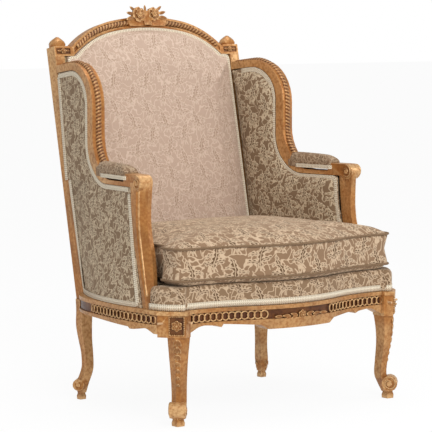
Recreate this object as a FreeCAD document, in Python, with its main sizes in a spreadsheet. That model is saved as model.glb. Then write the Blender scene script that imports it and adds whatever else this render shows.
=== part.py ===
"""A carved and gilded winged armchair with a loose seat cushion, in millimetres.

The origin is on the floor under the middle of the chair. +X is to the right as one faces the
chair, the front faces -Y, and +Z is up. Pieces on the right are modelled, and their partners on
the left are mirror images of them.
"""
import FreeCAD, Part
import math
import os
import Sketcher
from FreeCAD import Placement, Rotation, Vector

doc = FreeCAD.newDocument("winged_armchair")
sheet = doc.addObject("Spreadsheet::Sheet", "Sheet")

# The driving dimensions
SIZES = [
    ("rail_top", 292, "height of the seat rails' top edge"),
    ("rail_bottom", 246, "height of the seat rails' lower edge"),
    ("rail_thickness", 34, "seat rail, outer face to inner face"),
    ("band_depth", 3, "recess of the carved band on a seat rail"),
    ("band_low", 257, "lower edge of the carved band"),
    ("band_high", 282, "upper edge of the carved band"),
    ("plate_bottom", 231, "lowest edge of the plate at the middle of the front rail"),
    ("front_bow", 355, "how far forward the front rail reaches"),
    ("front_foot_x", 355, "front foot from the middle"),
    ("front_foot_y", 292, "front foot ahead of the origin"),
    ("rear_foot_x", 313, "rear foot from the middle"),
    ("rear_foot_y", 200, "rear foot behind the origin"),
    ("block_bottom", 226, "lower end of a front leg's carved block"),
    ("stile_outer", 316, "outer face of a back upright"),
    ("stile_width", 30, "back upright, side to side"),
    ("stile_depth", 37, "back upright, front to back"),
    ("stile_foot_y", 184, "front face of a back upright where the rake starts"),
    ("stile_foot_z", 298, "height where the rake is measured from"),
    ("rake", 11.6, "angle of the back from upright"),
    ("ear_bottom", 922, "height of the crest's ear, lower edge"),
    ("ear_top", 949, "height of the crest's ear, upper edge"),
    ("arch_outer", 1027, "crown of the crest, upper edge"),
    ("arch_inner", 998, "crown of the crest, lower edge"),
    ("splay", 7.07, "angle by which a side opens towards the front"),
    ("side_pivot_y", 306, "where the side's outer face meets the back upright"),
    ("side_thickness", 37, "wing and arm timber, outer face to inner face"),
    ("wing_front", 95.5, "front edge of the wing where it is upright"),
    ("wing_inner", 128, "inner edge of the wing timber where it is upright"),
    ("arm_bottom", 594, "lower edge of the arm rail"),
    ("arm_top", 610, "upper edge of the arm rail under its pad"),
    ("scroll_z", 606, "height of the arm scroll's centre"),
    ("scroll_y", -139, "arm scroll's centre"),
    ("scroll_radius", 21, "arm scroll's radius"),
    ("tenon_length", 20, "length of every tenon"),
    ("tenon_thickness", 12, "thickness of every tenon"),
    ("tenon_setback", 8, "a board's tenons behind its front face"),
    ("board_depth", 26, "rear seat rail, front to back"),
    ("back_board_depth", 22, "back's lower rail, front to back"),
    ("back_board_front", 12, "back's lower rail behind the face of the uprights"),
    ("back_board_low", 24, "back's lower rail, its lower edge above the rake's start"),
    ("back_board_height", 26, "back's lower rail, lower to upper edge"),
    ("rear_rail_y", 188, "front face of the rear seat rail"),
    ("peg_radius", 3, "oak peg through a joint"),
    ("web_width", 50, "upholstery webbing, width"),
    ("web_thickness", 1.2, "upholstery webbing, thickness"),
    ("cloth_thickness", 0.8, "hessian and bottom cloth"),
    ("platform_top", 352, "top of the stuffed seat platform"),
    ("cushion_bottom", 352.5, "underside of the loose cushion"),
    ("cushion_low_seam", 366, "lower seam of the cushion's boxing"),
    ("cushion_high_seam", 447, "upper seam of the cushion's boxing"),
    ("cushion_crown", 478, "top of the cushion's crown"),
    ("gimp_thickness", 1.4, "braid that covers the tacks"),
    ("gimp_width", 13, "braid on the back, wings and arms"),
    ("seat_gimp_width", 18, "braid round the seat"),
]
for row, (alias, value, note) in enumerate(SIZES, start=1):
    sheet.set(f"A{row}", note)
    sheet.set(f"B{row}", str(value))
    sheet.setAlias(f"B{row}", alias)
doc.recompute()
size = {alias: float(sheet.get(alias)) for alias, _, _ in SIZES}

UP = Vector(0, 0, 1)
TO_THE_RIGHT = Vector(1, 0, 0)
pieces = []


def bind(obj, **expressions):
    """Ties an object's properties to cells of the sheet."""
    for prop, expression in expressions.items():
        obj.setExpression(prop, expression)


def piece(obj, label):
    """Marks an object as a finished piece of the chair."""
    obj.Label = label
    pieces.append(obj)
    return obj


def shaped(label, shape):
    """A carved or upholstered piece whose form is worked out here."""
    obj = doc.addObject("Part::Feature", label + "_shape")
    obj.Shape = shape
    return piece(obj, label)


def pair(name, shape):
    """The right piece, and its mirror image on the left."""
    right = shaped(name + "_right", shape)
    left = doc.addObject("Part::Mirroring", name + "_left_mirror")
    left.Source = right
    left.Normal = TO_THE_RIGHT
    return right, piece(left, name + "_left")


def rounded(points, closed=False):
    """A wire of straight runs through (point, corner radius) pairs, with tangent arcs at the corners."""
    corners = [Vector(*point) for point, _ in points]
    radii = [radius for _, radius in points]
    count = len(corners)
    joints = []
    for i, corner in enumerate(corners):
        if radii[i] == 0 or (not closed and i in (0, count - 1)):
            joints.append((corner, None, corner))
            continue
        before = (corners[i - 1] - corner).normalize()
        after = (corners[(i + 1) % count] - corner).normalize()
        half_turn = (math.pi - before.getAngle(after)) / 2
        reach = radii[i] * math.tan(half_turn)
        inward = (before + after).normalize()
        gap = radii[i] / math.cos(half_turn) - radii[i]
        joints.append((corner + before * reach, corner + inward * gap, corner + after * reach))
    edges = []
    for i, (start, through, end) in enumerate(joints):
        if through is not None:
            edges.append(Part.Arc(start, through, end).toShape())
        if closed or i < count - 1:
            following = joints[(i + 1) % count][0]
            if end.distanceToPoint(following) > 1e-3:
                edges.append(Part.LineSegment(end, following).toShape())
    return Part.Wire(edges)


def outline(points, closed=False):
    """The rounded line in straight chords, closer together on the wide curves than on small corners."""
    corners = []
    edges = rounded(points, closed).OrderedEdges
    for edge in edges:
        count = 1
        if isinstance(edge.Curve, Part.Circle):
            radius = edge.Curve.Radius
            chord_turn = 5 if radius > 150 else 10 if radius > 25 else 30
            count = max(2, math.ceil(math.degrees(edge.Length / radius) / chord_turn))
        corners += edge.discretize(count + 1)[:-1]
    corners.append(corners[0] if closed else edges[-1].Vertexes[-1].Point)
    return Part.makePolygon(corners)


def prism(points, direction, closed=True):
    """A solid with a rounded outline, pushed along a direction."""
    return Part.Face(outline(points, closed)).extrude(direction)


def stacked(rings):
    """A solid through rings of straight sides. A side that twists is two triangles."""
    corners = [[vertex.Point for vertex in drawn.OrderedVertexes] for drawn in rings]
    faces = [Part.Face(rings[0]), Part.Face(rings[-1])]
    for lower, upper in zip(corners, corners[1:]):
        for k in range(len(lower)):
            a, b, c, d = lower[k - 1], lower[k], upper[k], upper[k - 1]
            twist = (b - a).cross(d - a).dot(c - a)
            sides = [(a, b, c, d)] if abs(twist) < 1e-3 else [(a, b, c), (a, c, d)]
            faces += [Part.Face(Part.makePolygon(side + side[:1])) for side in sides]
    skin = Part.Shell(faces)
    skin.sewShape()
    solid = Part.Solid(skin)
    if solid.Volume < 0:
        solid.reverse()
    return solid


def block(x0, x1, y0, y1, z0, z1):
    """A rectangular block between two corners."""
    return Part.makeBox(x1 - x0, y1 - y0, z1 - z0, Vector(x0, y0, z0))


def ring(centre, normal, radius, sides=8):
    """A regular ring of straight sides about a point."""
    corners = []
    for k in range(sides + 1):
        turn = 2 * math.pi * k / sides
        corners.append(Vector(radius * math.cos(turn), radius * math.sin(turn), 0))
    drawn = Part.makePolygon(corners)
    drawn.Placement = Placement(centre, Rotation(UP, normal))
    return drawn


def drum(centre, along, radius, sides):
    """A many-sided drum whose middle is at a point."""
    return Part.Face(ring(centre - along / 2, along, radius, sides)).extrude(along)


def peg(start, end):
    """A whittled peg from one point to another."""
    return drum((start + end) / 2, end - start, size["peg_radius"], 8)


# The seat frame's plan: a serpentine front, swelling sides and raked back uprights
CONVEX_RADIUS = 390.0
CONCAVE_RADIUS = 378.0
FRONT_SLOPE = math.radians(22.6)
FRONT_LEVEL = -296.0
RAIL_END_X = 333.0


def front_points(inset, end_x=RAIL_END_X, z=0.0):
    """The serpentine front as corners and radii, from left to right, moved back by inset."""
    overshoot = CONVEX_RADIUS * (1 / math.cos(FRONT_SLOPE) - 1)
    tip = -size["front_bow"] - overshoot + inset / math.cos(FRONT_SLOPE)
    level = FRONT_LEVEL + inset
    knee = (level - tip) / math.tan(FRONT_SLOPE)
    return [
        ((-end_x, level, z), 0),
        ((-knee, level, z), CONCAVE_RADIUS + inset),
        ((0, tip, z), CONVEX_RADIUS - inset),
        ((knee, level, z), CONCAVE_RADIUS + inset),
        ((end_x, level, z), 0),
    ]


def front_line(inset):
    """The edges of the front rail's plan line, moved back by inset."""
    return outline(front_points(inset)).OrderedEdges


def front_strip(outset, depth):
    """A plan face that follows the front rail, from outset ahead of its face to depth behind it."""
    outer = front_line(-outset)
    inner = front_line(depth)
    ends = [
        Part.LineSegment(outer[-1].Vertexes[-1].Point, inner[-1].Vertexes[-1].Point).toShape(),
        Part.LineSegment(outer[0].Vertexes[0].Point, inner[0].Vertexes[0].Point).toShape(),
    ]
    return Part.Face(Part.Wire(Part.__sortEdges__(outer + inner + ends)))


SIDE_LINE = [((316, 192), 0), ((378, 118), 220), ((412, -140), 600), ((398, -262), 0)]


def side_strip(inset, depth):
    """A plan face that follows the right side rail, from inset inside its face to depth further in."""
    def moved(amount):
        points = []
        for (x, y), radius in SIDE_LINE:
            points.append(((x - amount, y - amount * 0.12, 0), radius - amount if radius else 0))
        return outline(points)

    outer = moved(inset)
    inner = moved(inset + depth)
    ends = []
    for index in (0, -1):
        a = outer.OrderedVertexes[index].Point
        b = inner.OrderedVertexes[index].Point
        ends.append(Part.LineSegment(a, b).toShape())
    return Part.Face(Part.Wire(Part.__sortEdges__(outer.Edges + inner.Edges + ends)))


def standing(face, low, high):
    """A plan face raised between two heights."""
    lifted = face.copy()
    lifted.translate(UP * low)
    return lifted.extrude(UP * (high - low))


def section(x, y, z, width, chamfer, side=1):
    """A square leg section whose outward corner, towards +X and side times Y, is cut off."""
    half = width / 2
    points = [
        Vector(x - half, y - side * half, z),
        Vector(x - half, y + side * half, z),
        Vector(x + half - chamfer, y + side * half, z),
        Vector(x + half, y + side * (half - chamfer), z),
        Vector(x + half, y - side * half, z),
    ]
    return Part.makePolygon(points + [points[0]])


def eased(rows, count=3):
    """Rows with more rows between them, on a smooth curve through them all."""
    full = []
    last = len(rows) - 1
    for i in range(last):
        before, first, second, after = rows[max(i - 1, 0)], rows[i], rows[i + 1], rows[min(i + 2, last)]
        for step in range(count):
            t = step / count
            row = []
            for p, a, b, q in zip(before, first, second, after):
                bend = 2 * p - 5 * a + 4 * b - q + t * (3 * a - p - 3 * b + q)
                row.append(a + t / 2 * (b - p + t * bend))
            full.append(tuple(row))
    return full + [rows[-1]]


def cabriole(foot_x, foot_y, side, rows, chamfer, scroll):
    """A cabriole leg down to its scrolled foot. A row is height, outward shift and width."""
    diagonal = math.sqrt(0.5)

    def centre(shift):
        return foot_x + diagonal * shift, foot_y + side * diagonal * shift

    levels = []
    for height, shift, width in eased(rows):
        levels.append(section(*centre(shift), height, width, chamfer, side))
    shaft = stacked(levels)
    radius, length, height, shift = scroll
    x, y = centre(shift)
    across = Vector(diagonal, -side * diagonal, 0)
    middle = Vector(x, y, height)
    volute = drum(middle, across * length, radius, 14)
    eye = drum(middle, across * (length + 6), radius * 0.36, 8)
    shoe_width = rows[-1][2]
    shoe = stacked(
        [
            section(foot_x, foot_y, height, shoe_width - slimmer, 2, side)
            for height, slimmer in ((24, 5), (17, 4), (9, 0), (0, 1))
        ]
    )
    return shaft.multiFuse([volute, eye, shoe])


# The raked back: its own frame has X across, Y through and Z up the slope
rake = math.radians(size["rake"])
BACK = Placement(
    Vector(0, size["stile_foot_y"], size["stile_foot_z"]), Rotation(TO_THE_RIGHT, -size["rake"])
)


def slope(height):
    """The distance up the raked back at which a height above the floor is reached."""
    return (height - size["stile_foot_z"]) / math.cos(rake)


def raked(shape):
    """A shape of the back's own frame, set in its place."""
    placed = shape.copy()
    placed.transformShape(BACK.toMatrix())
    return placed


def arch(crown, end_x, end_z, crown_radius=640.0, crown_half=118.0):
    """A three-centred arch in the back's own plane, from its left end to its right end."""
    top = slope(crown)
    end = slope(end_z)
    crown_turn = math.asin(crown_half / crown_radius)
    knee_z = top - crown_radius * (1 - math.cos(crown_turn))
    chord = math.hypot(end_x - crown_half, knee_z - end)
    chord_turn = math.atan2(knee_z - end, end_x - crown_half)
    haunch_radius = chord / (2 * math.sin(chord_turn - crown_turn))
    mid_turn = chord_turn
    centre_x = crown_half - haunch_radius * math.sin(crown_turn)
    centre_z = knee_z - haunch_radius * math.cos(crown_turn)
    mid = (centre_x + haunch_radius * math.sin(mid_turn), centre_z + haunch_radius * math.cos(mid_turn))
    crown_arc = Part.Arc(
        Vector(-crown_half, 0, knee_z), Vector(0, 0, top), Vector(crown_half, 0, knee_z)
    ).toShape()
    haunches = []
    for side in (-1, 1):
        points = [Vector(side * x, 0, z) for x, z in ((end_x, end), mid, (crown_half, knee_z))]
        haunches.append(Part.Arc(*points).toShape())
    return [haunches[0], crown_arc, haunches[1]]


def closed_face(edges, *corners):
    """A face bounded by edges and by the straight run through the corner points."""
    runs = [Part.LineSegment(a, b).toShape() for a, b in zip(corners, corners[1:])]
    return Part.Face(Part.Wire(Part.__sortEdges__(edges + runs)))


# The splayed side: drawn upright on the plane of the back upright's outer face, then swung open
PIVOT = Vector(size["stile_outer"], size["side_pivot_y"], 0)


def swung(shape):
    """A side's shape, swung open about the back upright."""
    placed = shape.copy()
    placed.rotate(PIVOT, UP, size["splay"])
    return placed


def side_x(y, inward=0.0):
    """How far out the side's outer face is at a place along the chair's depth."""
    return size["stile_outer"] + math.tan(math.radians(size["splay"])) * (size["side_pivot_y"] - y) - inward


def side_slab(points, outer, inner):
    """A slab of the side between two depths below its outer face, with a rounded outline."""
    x = size["stile_outer"] - outer
    lifted = [((x, y, z), radius) for (y, z), radius in points]
    return swung(prism(lifted, Vector(outer - inner, 0, 0)))


def stile_front(height):
    """Where the front face of a back upright is, at a height."""
    return size["stile_foot_y"] + math.tan(rake) * (height - size["stile_foot_z"])


tenon = size["tenon_length"]
half_tenon = size["tenon_thickness"] / 2
top = size["rail_top"]
low = size["rail_bottom"]

# Joint sizes shared by a tenon and its mortise
FRONT_TENON = (RAIL_END_X - 8, RAIL_END_X - 8 + tenon, -290, -290 + 2 * half_tenon, 240, 276)
SIDE_FRONT_TENON = (360, 360 + 2 * half_tenon, -262 - tenon, -260, 250, 282)
SIDE_REAR_TENON = (294, 294 + 2 * half_tenon, 172, 195, 252, 282)
REAR_TENON = (284, 286 + tenon, 196, 196 + 2 * half_tenon, 254, 280)
JOINT_PEGS = [
    peg(Vector(337, -325, 264), Vector(337, -266, 264)),
    peg(Vector(404, -272, 262), Vector(352, -272, 262)),
    peg(Vector(317, 187, 270), Vector(289, 187, 270)),
]

# Front legs: a carved corner block over a cabriole shaft with a scrolled foot
BLOCK_PLAN = [(326, -306), (333, -309), (349, -318), (383, -284), (398, -262), (326, -262)]
BLOCK_CAP_PLAN = [(326, -309), (334, -312), (350, -322), (387, -285), (401, -262), (326, -262)]


def plan_prism(points, z0, z1):
    """A straight-sided block raised on a plan."""
    return prism([((x, y, z0), 0) for x, y in points], UP * (z1 - z0))


def front_leg():
    rows = [
        (232, -11, 42), (190, -8.5, 36.5), (150, -10, 32), (105, -15.5, 28.5),
        (66, -18, 27.5), (42, -9, 28), (18, 0, 24),
    ]
    shaft = cabriole(size["front_foot_x"], -size["front_foot_y"], -1, rows, 8, (21, 40, 41, 5))
    head = plan_prism(BLOCK_PLAN, size["block_bottom"], top)
    cap = plan_prism(BLOCK_CAP_PLAN, size["band_high"], top)
    panel = Part.makeBox(38, 6, 48)
    panel.translate(Vector(-19, -2.6, 232))
    panel.rotate(Vector(0, 0, 0), UP, 45)
    panel.translate(Vector(366, -301, 0))
    leg = shaft.multiFuse([head, cap]).cut(panel)
    leg = leg.cut(block(*FRONT_TENON)).cut(block(*SIDE_FRONT_TENON))
    return leg.cut(JOINT_PEGS[0]).cut(JOINT_PEGS[1])


# Rear posts: one timber for the cabriole leg and the raked back upright
def rear_post():
    rows = [
        (272, -7, 34), (240, -8, 33.5), (201, -7, 33), (161, -10.5, 28.5), (128, -15, 25.5),
        (93, -16.5, 25), (72, -12.5, 26), (48, -4, 26), (18, 0, 19),
    ]
    shaft = cabriole(size["rear_foot_x"], size["rear_foot_y"], 1, rows, 5, (16, 31, 40, 5))
    inner = size["stile_outer"] - size["stile_width"]
    stile = raked(
        block(inner, size["stile_outer"], 0, size["stile_depth"], slope(262), slope(size["ear_bottom"]))
    )
    shoulder = slope(size["ear_bottom"])
    head_tenon = raked(block(inner + 8, inner + 20, 10, 26, shoulder - 2, shoulder + tenon))
    post = shaft.multiFuse([stile, head_tenon])
    for mortise in (SIDE_REAR_TENON, REAR_TENON):
        post = post.cut(block(*mortise))
    for cutter in (wing_tenon(), arm_rail_tenon(), lower_rail_tenon(), JOINT_PEGS[2]):
        post = post.cut(cutter)
    return post


def wing_tenon():
    """The tenon at the wing's upper end, in the back upright."""
    return block(296, 308, 296, 318, 880, 896)


def arm_rail_tenon():
    """The tenon of the hidden rail behind the arm, in the back upright."""
    y = stile_front(575)
    return block(298, 310, y - 6, y + 14, 566, 584)


def lower_rail_tenon():
    """The tenon of the back's lower rail, in the back upright."""
    front = size["back_board_front"] + size["tenon_setback"]
    low_edge = size["back_board_low"] + 4
    inner = size["stile_outer"] - size["stile_width"]
    return raked(block(inner - 2, inner + tenon, front, front + 2 * half_tenon, low_edge, low_edge + 18))


# Front rail: serpentine, with a carved band between a fillet and a bead, two drops and a plate
def front_rail():
    body = standing(front_strip(0, size["rail_thickness"]), size["plate_bottom"] - 4, top)
    fillet = standing(front_strip(3, size["rail_thickness"]), size["band_high"], top)
    bead = standing(front_strip(2, size["rail_thickness"]), size["plate_bottom"] - 4, size["band_low"])
    low_points = [
        (RAIL_END_X + 1, 228), (286, 251), (240, 247), (226, 242), (220, 250), (122, 243), (104, 231),
    ]
    outline = [((-x, -400, z), 0) for x, z in low_points] + [
        ((x, -400, z), 0) for x, z in reversed(low_points)
    ]
    radii = {286: 60, 240: 30, 122: 8, 104: 8}
    outline = [((x, y, z), radii.get(abs(x), 0)) for (x, y, z), _ in outline]
    outline += [((RAIL_END_X + 1, -400, top + 5), 0), ((-RAIL_END_X - 1, -400, top + 5), 0)]
    elevation = prism(outline, Vector(0, 200, 0))
    rail = body.multiFuse([fillet, bead]).common(elevation)
    band = standing(front_strip(1, size["band_depth"] + 1), size["band_low"], size["band_high"])
    keep_ends = block(-320, 320, -400, -200, 200, 320)
    rail = rail.cut(band.common(keep_ends))
    for side in (-1, 1):
        x0, x1, y0, y1, z0, z1 = FRONT_TENON
        shoulder = block(RAIL_END_X - 8.0, RAIL_END_X + 3, -306, -262, 226, top)
        if side < 0:
            shoulder = shoulder.mirror(Vector(0, 0, 0), TO_THE_RIGHT)
        rail = rail.cut(shoulder)
        ends = sorted((side * (x0 - 6), side * x1))
        rail = rail.fuse(block(ends[0], ends[1], y0, y1, z0, z1))
        hole = JOINT_PEGS[0] if side > 0 else JOINT_PEGS[0].mirror(Vector(0, 0, 0), TO_THE_RIGHT)
        rail = rail.cut(hole)
    return rail


# Side rails: swelling outwards, tenoned into the front leg and the rear post
def side_rail():
    thickness = size["rail_thickness"]
    body = standing(side_strip(0, thickness), low - 12, top)
    fillet = standing(side_strip(-3, thickness), size["band_high"], top)
    bead = standing(side_strip(-2, thickness), low - 12, size["band_low"])
    profile = [
        ((250, 195, 250), 0), ((250, 168, 251), 20), ((250, -150, 243), 0), ((250, -158, 238), 4),
        ((250, -176, 239), 10), ((250, -222, 246), 30), ((250, -264, 228), 0),
        ((250, -264, top + 5), 0), ((250, 195, top + 5), 0),
    ]
    elevation = prism(profile, Vector(200, 0, 0))
    rail = body.multiFuse([fillet, bead]).common(elevation)
    band = standing(side_strip(-1, size["band_depth"] + 1), size["band_low"], size["band_high"])
    rail = rail.cut(band.common(block(300, 450, -250, 160, 200, 320)))
    stile_space = raked(block(270, 420, 0, 80, slope(200), slope(330)))
    rail = rail.cut(stile_space)
    rail = rail.cut(block(300, 450, -300, -262, 200, 320))
    rear_tenon = block(*SIDE_REAR_TENON)
    x0, x1, y0, y1, z0, z1 = SIDE_FRONT_TENON
    front_tenon = block(x0, x1, y0, y1 + 6, z0, z1)
    return rail.multiFuse([rear_tenon, front_tenon]).cut(JOINT_PEGS[1]).cut(JOINT_PEGS[2])


# Straight boards: made as bodies with a rectangle pad for the board and one for its tenons
def origin_plane(body, role):
    """One of a body's own origin planes."""
    return [f for f in body.Origin.OriginFeatures if f.Role == role][0]


def rectangle_sketch(body, name, setback, x, z, width, height):
    """A rectangle upright across the body, behind its front face. The last four are expressions."""
    sketch = body.newObject("Sketcher::SketchObject", name)
    sketch.AttachmentSupport = [(origin_plane(body, "XZ_Plane"), "")]
    sketch.MapMode = "FlatFace"
    sketch.AttachmentOffset = Placement(Vector(0, 0, -setback), Rotation())
    corners = [Vector(0, 0, 0), Vector(10, 0, 0), Vector(10, 10, 0), Vector(0, 10, 0)]
    for a, b in zip(corners, corners[1:] + corners[:1]):
        sketch.addGeometry(Part.LineSegment(a, b), False)
    for i in range(4):
        sketch.addConstraint(Sketcher.Constraint("Coincident", i, 2, (i + 1) % 4, 1))
    for kind, edge in (("Horizontal", 0), ("Vertical", 1), ("Horizontal", 2), ("Vertical", 3)):
        sketch.addConstraint(Sketcher.Constraint(kind, edge))
    measures = [
        ("DistanceX", (-1, 1, 0, 1), x, "left"),
        ("DistanceY", (-1, 1, 0, 1), z, "bottom"),
        ("DistanceX", (0, 1, 0, 2), width, "width"),
        ("DistanceY", (1, 1, 1, 2), height, "height"),
    ]
    for kind, places, expression, label in measures:
        index = sketch.addConstraint(Sketcher.Constraint(kind, *places, 5.0))
        sketch.renameConstraint(index, label)
        sketch.setExpression(f"Constraints.{label}", expression)
    return sketch


def board(label, length, thickness, bottom, height, tenon_bottom, tenon_height, placement):
    """A board between the uprights with a tenon at each end. Each size is an expression."""
    body = doc.addObject("PartDesign::Body", label + "_body")
    face = rectangle_sketch(body, label + "_face", 0, f"-({length}) / 2", bottom, length, height)
    plank = body.newObject("PartDesign::Pad", label + "_plank")
    plank.Profile = face
    plank.Reversed = True
    plank.setExpression("Length", thickness)
    full = f"({length}) + 2 * Sheet.tenon_length"
    left_end = f"-({full}) / 2"
    setback = size["tenon_setback"]
    ends = rectangle_sketch(body, label + "_ends", setback, left_end, tenon_bottom, full, tenon_height)
    tenons = body.newObject("PartDesign::Pad", label + "_tenons")
    tenons.Profile = ends
    tenons.Reversed = True
    tenons.setExpression("Length", "Sheet.tenon_thickness")
    body.Tip = tenons
    body.Placement = placement
    doc.recompute()
    return body


BETWEEN_STILES = "2 * (Sheet.stile_outer - Sheet.stile_width)"


# Corner blocks: glued across the seat frame's corners, against the rails, clear of the rear posts
def corner_blocks(rails):
    front = plan_prism([(285, -262), (374, -262), (376, -150)], 252, 284)
    rear = plan_prism([(238, 188), (284, 188), (284, 171), (340, 171), (360, 70)], 254, 284)
    fitted = []
    for raw in (front, rear):
        for rail in rails:
            raw = raw.cut(rail)
        fitted.append(max(raw.Solids, key=lambda solid: solid.Volume))
    return fitted


# Crest rail: an arched and eared top rail with a carved band between two fillets
def crest_rail():
    outer_x, end_x = 258, 254
    depth = size["stile_depth"]
    ear_x = size["stile_outer"]
    ear_top = slope(size["ear_top"])
    ear_bottom = slope(size["ear_bottom"])
    outer = arch(size["arch_outer"], outer_x, 946)
    shoulder = outer[0].Vertexes[0].Point
    inner = arch(size["arch_inner"], end_x, 923)
    hip = inner[0].Vertexes[0].Point
    ends = []
    for side in (-1, 1):
        run = [
            Vector(side * abs(shoulder.x), 0, shoulder.z),
            Vector(side * (outer_x + 10), 0, ear_top),
            Vector(side * ear_x, 0, ear_top),
            Vector(side * ear_x, 0, ear_bottom),
            Vector(side * abs(hip.x), 0, ear_bottom),
            Vector(side * abs(hip.x), 0, hip.z),
        ]
        ends += [
            Part.LineSegment(a, b).toShape() for a, b in zip(run, run[1:]) if a.distanceToPoint(b) > 1e-3
        ]
    face = Part.Face(Part.Wire(Part.__sortEdges__(outer + inner + ends)))
    rail = face.extrude(Vector(0, depth, 0))
    band = Part.Face(
        Part.Wire(
            Part.__sortEdges__(
                arch(size["arch_outer"] - 6, outer_x - 7, 942)
                + arch(size["arch_inner"] + 7, end_x - 3, 931)
                + [
                    Part.LineSegment(
                        Vector(side * (outer_x - 7), 0, slope(942)), Vector(side * (end_x - 3), 0, slope(931))
                    ).toShape()
                    for side in (-1, 1)
                ]
            )
        )
    ).extrude(Vector(0, 3, 0))
    rail = rail.cut(band)
    inner_stile = ear_x - size["stile_width"]
    for side in (-1, 1):
        x0, x1 = sorted((side * (inner_stile + 8), side * (inner_stile + 20)))
        mortise = block(x0, x1, 10, 26, ear_bottom - 2, ear_bottom + tenon)
        field_x = sorted((side * 264, side * (ear_x - 6)))
        field = block(field_x[0], field_x[1], -1, 2.5, ear_bottom + 6, ear_top - 6)
        rail = rail.cut(mortise).cut(field)
    return raked(rail)


def blossom(x, z, radius, y):
    """A carved flower: five petals round a raised eye, standing on the crest's front."""
    centre = Vector(x, y, z)

    def around(reach, step):
        turn = 2 * math.pi * step / 5
        return centre + Vector(reach * math.cos(turn), 0, reach * math.sin(turn))

    petals = []
    for step in range(5):
        petals += [around(radius * 0.8, step), around(radius, step + 0.25), around(radius, step + 0.75)]
    flower = Part.Face(Part.makePolygon(petals + [petals[0]])).extrude(Vector(0, 12, 0))
    return flower.fuse(drum(centre - Vector(0, 1.5, 0), Vector(0, 7, 0), radius * 0.36, 8))


# Cresting: two blossoms tied in a bow, with leaf sprays that lie along the arch
def crest_carving():
    crown = slope(size["arch_outer"])
    parts = [blossom(-27, crown + 5, 22, -12), blossom(24, crown + 6, 20, -12)]
    knot_corners = [(-12, crown - 24, 5), (12, crown - 24, 5), (15, crown + 16, 7), (-15, crown + 16, 7)]
    knot = prism([((x, -12, z), radius) for x, z, radius in knot_corners], Vector(0, 14, 0))
    parts.append(knot)
    for side in (-1, 1):
        spray = prism(
            [
                ((side * 10, -9, crown - 26), 0), ((side * 60, -9, crown - 27), 6),
                ((side * 68, -9, crown - 12), 6), ((side * 52, -9, crown - 2), 0),
                ((side * 10, -9, crown + 2), 0),
            ],
            Vector(0, 12, 0),
        )
        parts.append(spray)
    return raked(parts[0].multiFuse(parts[1:]))


# Finials: a carved bud with leaves on each ear
def finial():
    base_z = size["ear_top"]
    centre = Vector(293, stile_front(base_z) + 19, base_z)
    levels = []
    for z, radius in ((-9, 21), (5, 23), (12, 19), (18, 12), (24, 3)):
        levels.append(ring(centre + UP * z, UP, radius, 12))
    bud = Part.makeLoft(levels, True, True)
    return bud.common(block(270, 316, centre.y - 16, centre.y + 16, base_z - 9, base_z + 30))


# Wings and arms: one flowing S line, drawn in the side's plane and joined above the arm
WING_JOINT_Y = 44.0


def wing_edge(inset):
    """The timber's front and upper edge from the back upright to under the arm pad."""
    front = size["wing_front"] + inset
    return [
        ((size["side_pivot_y"], 901 - inset), 0),
        ((front, 925 - 1.12 * inset), 120 - inset),
        ((front, 672 - 0.435 * inset), 110 + inset),
        ((29 + 0.394 * inset, size["arm_top"] - inset), 60 + inset),
        ((-70, size["arm_top"] - inset), 0),
    ]


def inner_edge():
    """The timber's inner and lower edge, from under the arm back up to the back upright."""
    inner = size["wing_inner"]
    return [
        ((-70, size["arm_bottom"]), 0),
        ((58, size["arm_bottom"]), 90),
        ((inner, 650), 105),
        ((inner, 897), 90),
        ((size["side_pivot_y"], 877), 0),
    ]


def wing_and_arm():
    """The whole S shaped timber, before it is divided."""
    return side_slab(wing_edge(4) + inner_edge(), 0, size["side_thickness"])


def wing_roll():
    """The rope moulding's round body along the timber's front edge."""
    middle = size["stile_outer"] - size["side_thickness"] / 2
    inset = 8.0
    points = wing_edge(inset)[:3] + [((52, 630), 0)]
    path = rounded([((middle, y, z), radius) for (y, z), radius in points])
    start = path.OrderedVertexes[0].Point
    heading = path.OrderedEdges[0].tangentAt(path.OrderedEdges[0].FirstParameter)
    return swung(path.makePipeShell([ring(start, heading, 8.3)], True, False))


def wing_rail():
    keep = swung(block(250, 330, WING_JOINT_Y, 320, 500, 1000))
    rail = wing_and_arm().common(keep).fuse(wing_roll())
    rail = rail.cut(raked(block(250, 330, 0, 60, slope(800), slope(950))))
    tongue = side_slab([((30, 600), 0), ((30, 610), 0), ((60, 614), 0), ((60, 604), 0)], 13, 25)
    return rail.cut(tongue).fuse(wing_tenon())


def arm_rail():
    keep = swung(block(250, 330, -75, WING_JOINT_Y, 500, 700))
    bar = wing_and_arm().common(keep)
    y, z, radius = size["scroll_y"], size["scroll_z"], size["scroll_radius"]
    head = side_slab(
        [
            ((-70, size["arm_bottom"]), 0), ((-70, size["arm_top"]), 0), ((-76, z + radius), 8),
            ((y, z + radius), 0), ((y, size["arm_bottom"]), 0),
        ],
        0,
        size["side_thickness"],
    )
    outer = size["stile_outer"]
    middle = Vector(outer - size["side_thickness"] / 2, y, z)
    volute = drum(middle, TO_THE_RIGHT * size["side_thickness"], radius, 16)
    eye = drum(middle, TO_THE_RIGHT * (size["side_thickness"] + 4), 7, 8)
    tongue = side_slab([((30, 600), 0), ((30, 610), 0), ((60, 614), 0), ((60, 604), 0)], 13, 25)
    arm = bar.multiFuse([head, swung(volute), swung(eye)]).cut(wing_roll()).fuse(tongue)
    return arm.cut(post_tenon())


def post_tenon():
    """The tenon from the arm post up into the arm's scroll."""
    return side_slab([((-126, 580), 0), ((-114, 580), 0), ((-114, 606), 0), ((-126, 606), 0)], 12, 24)


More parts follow.
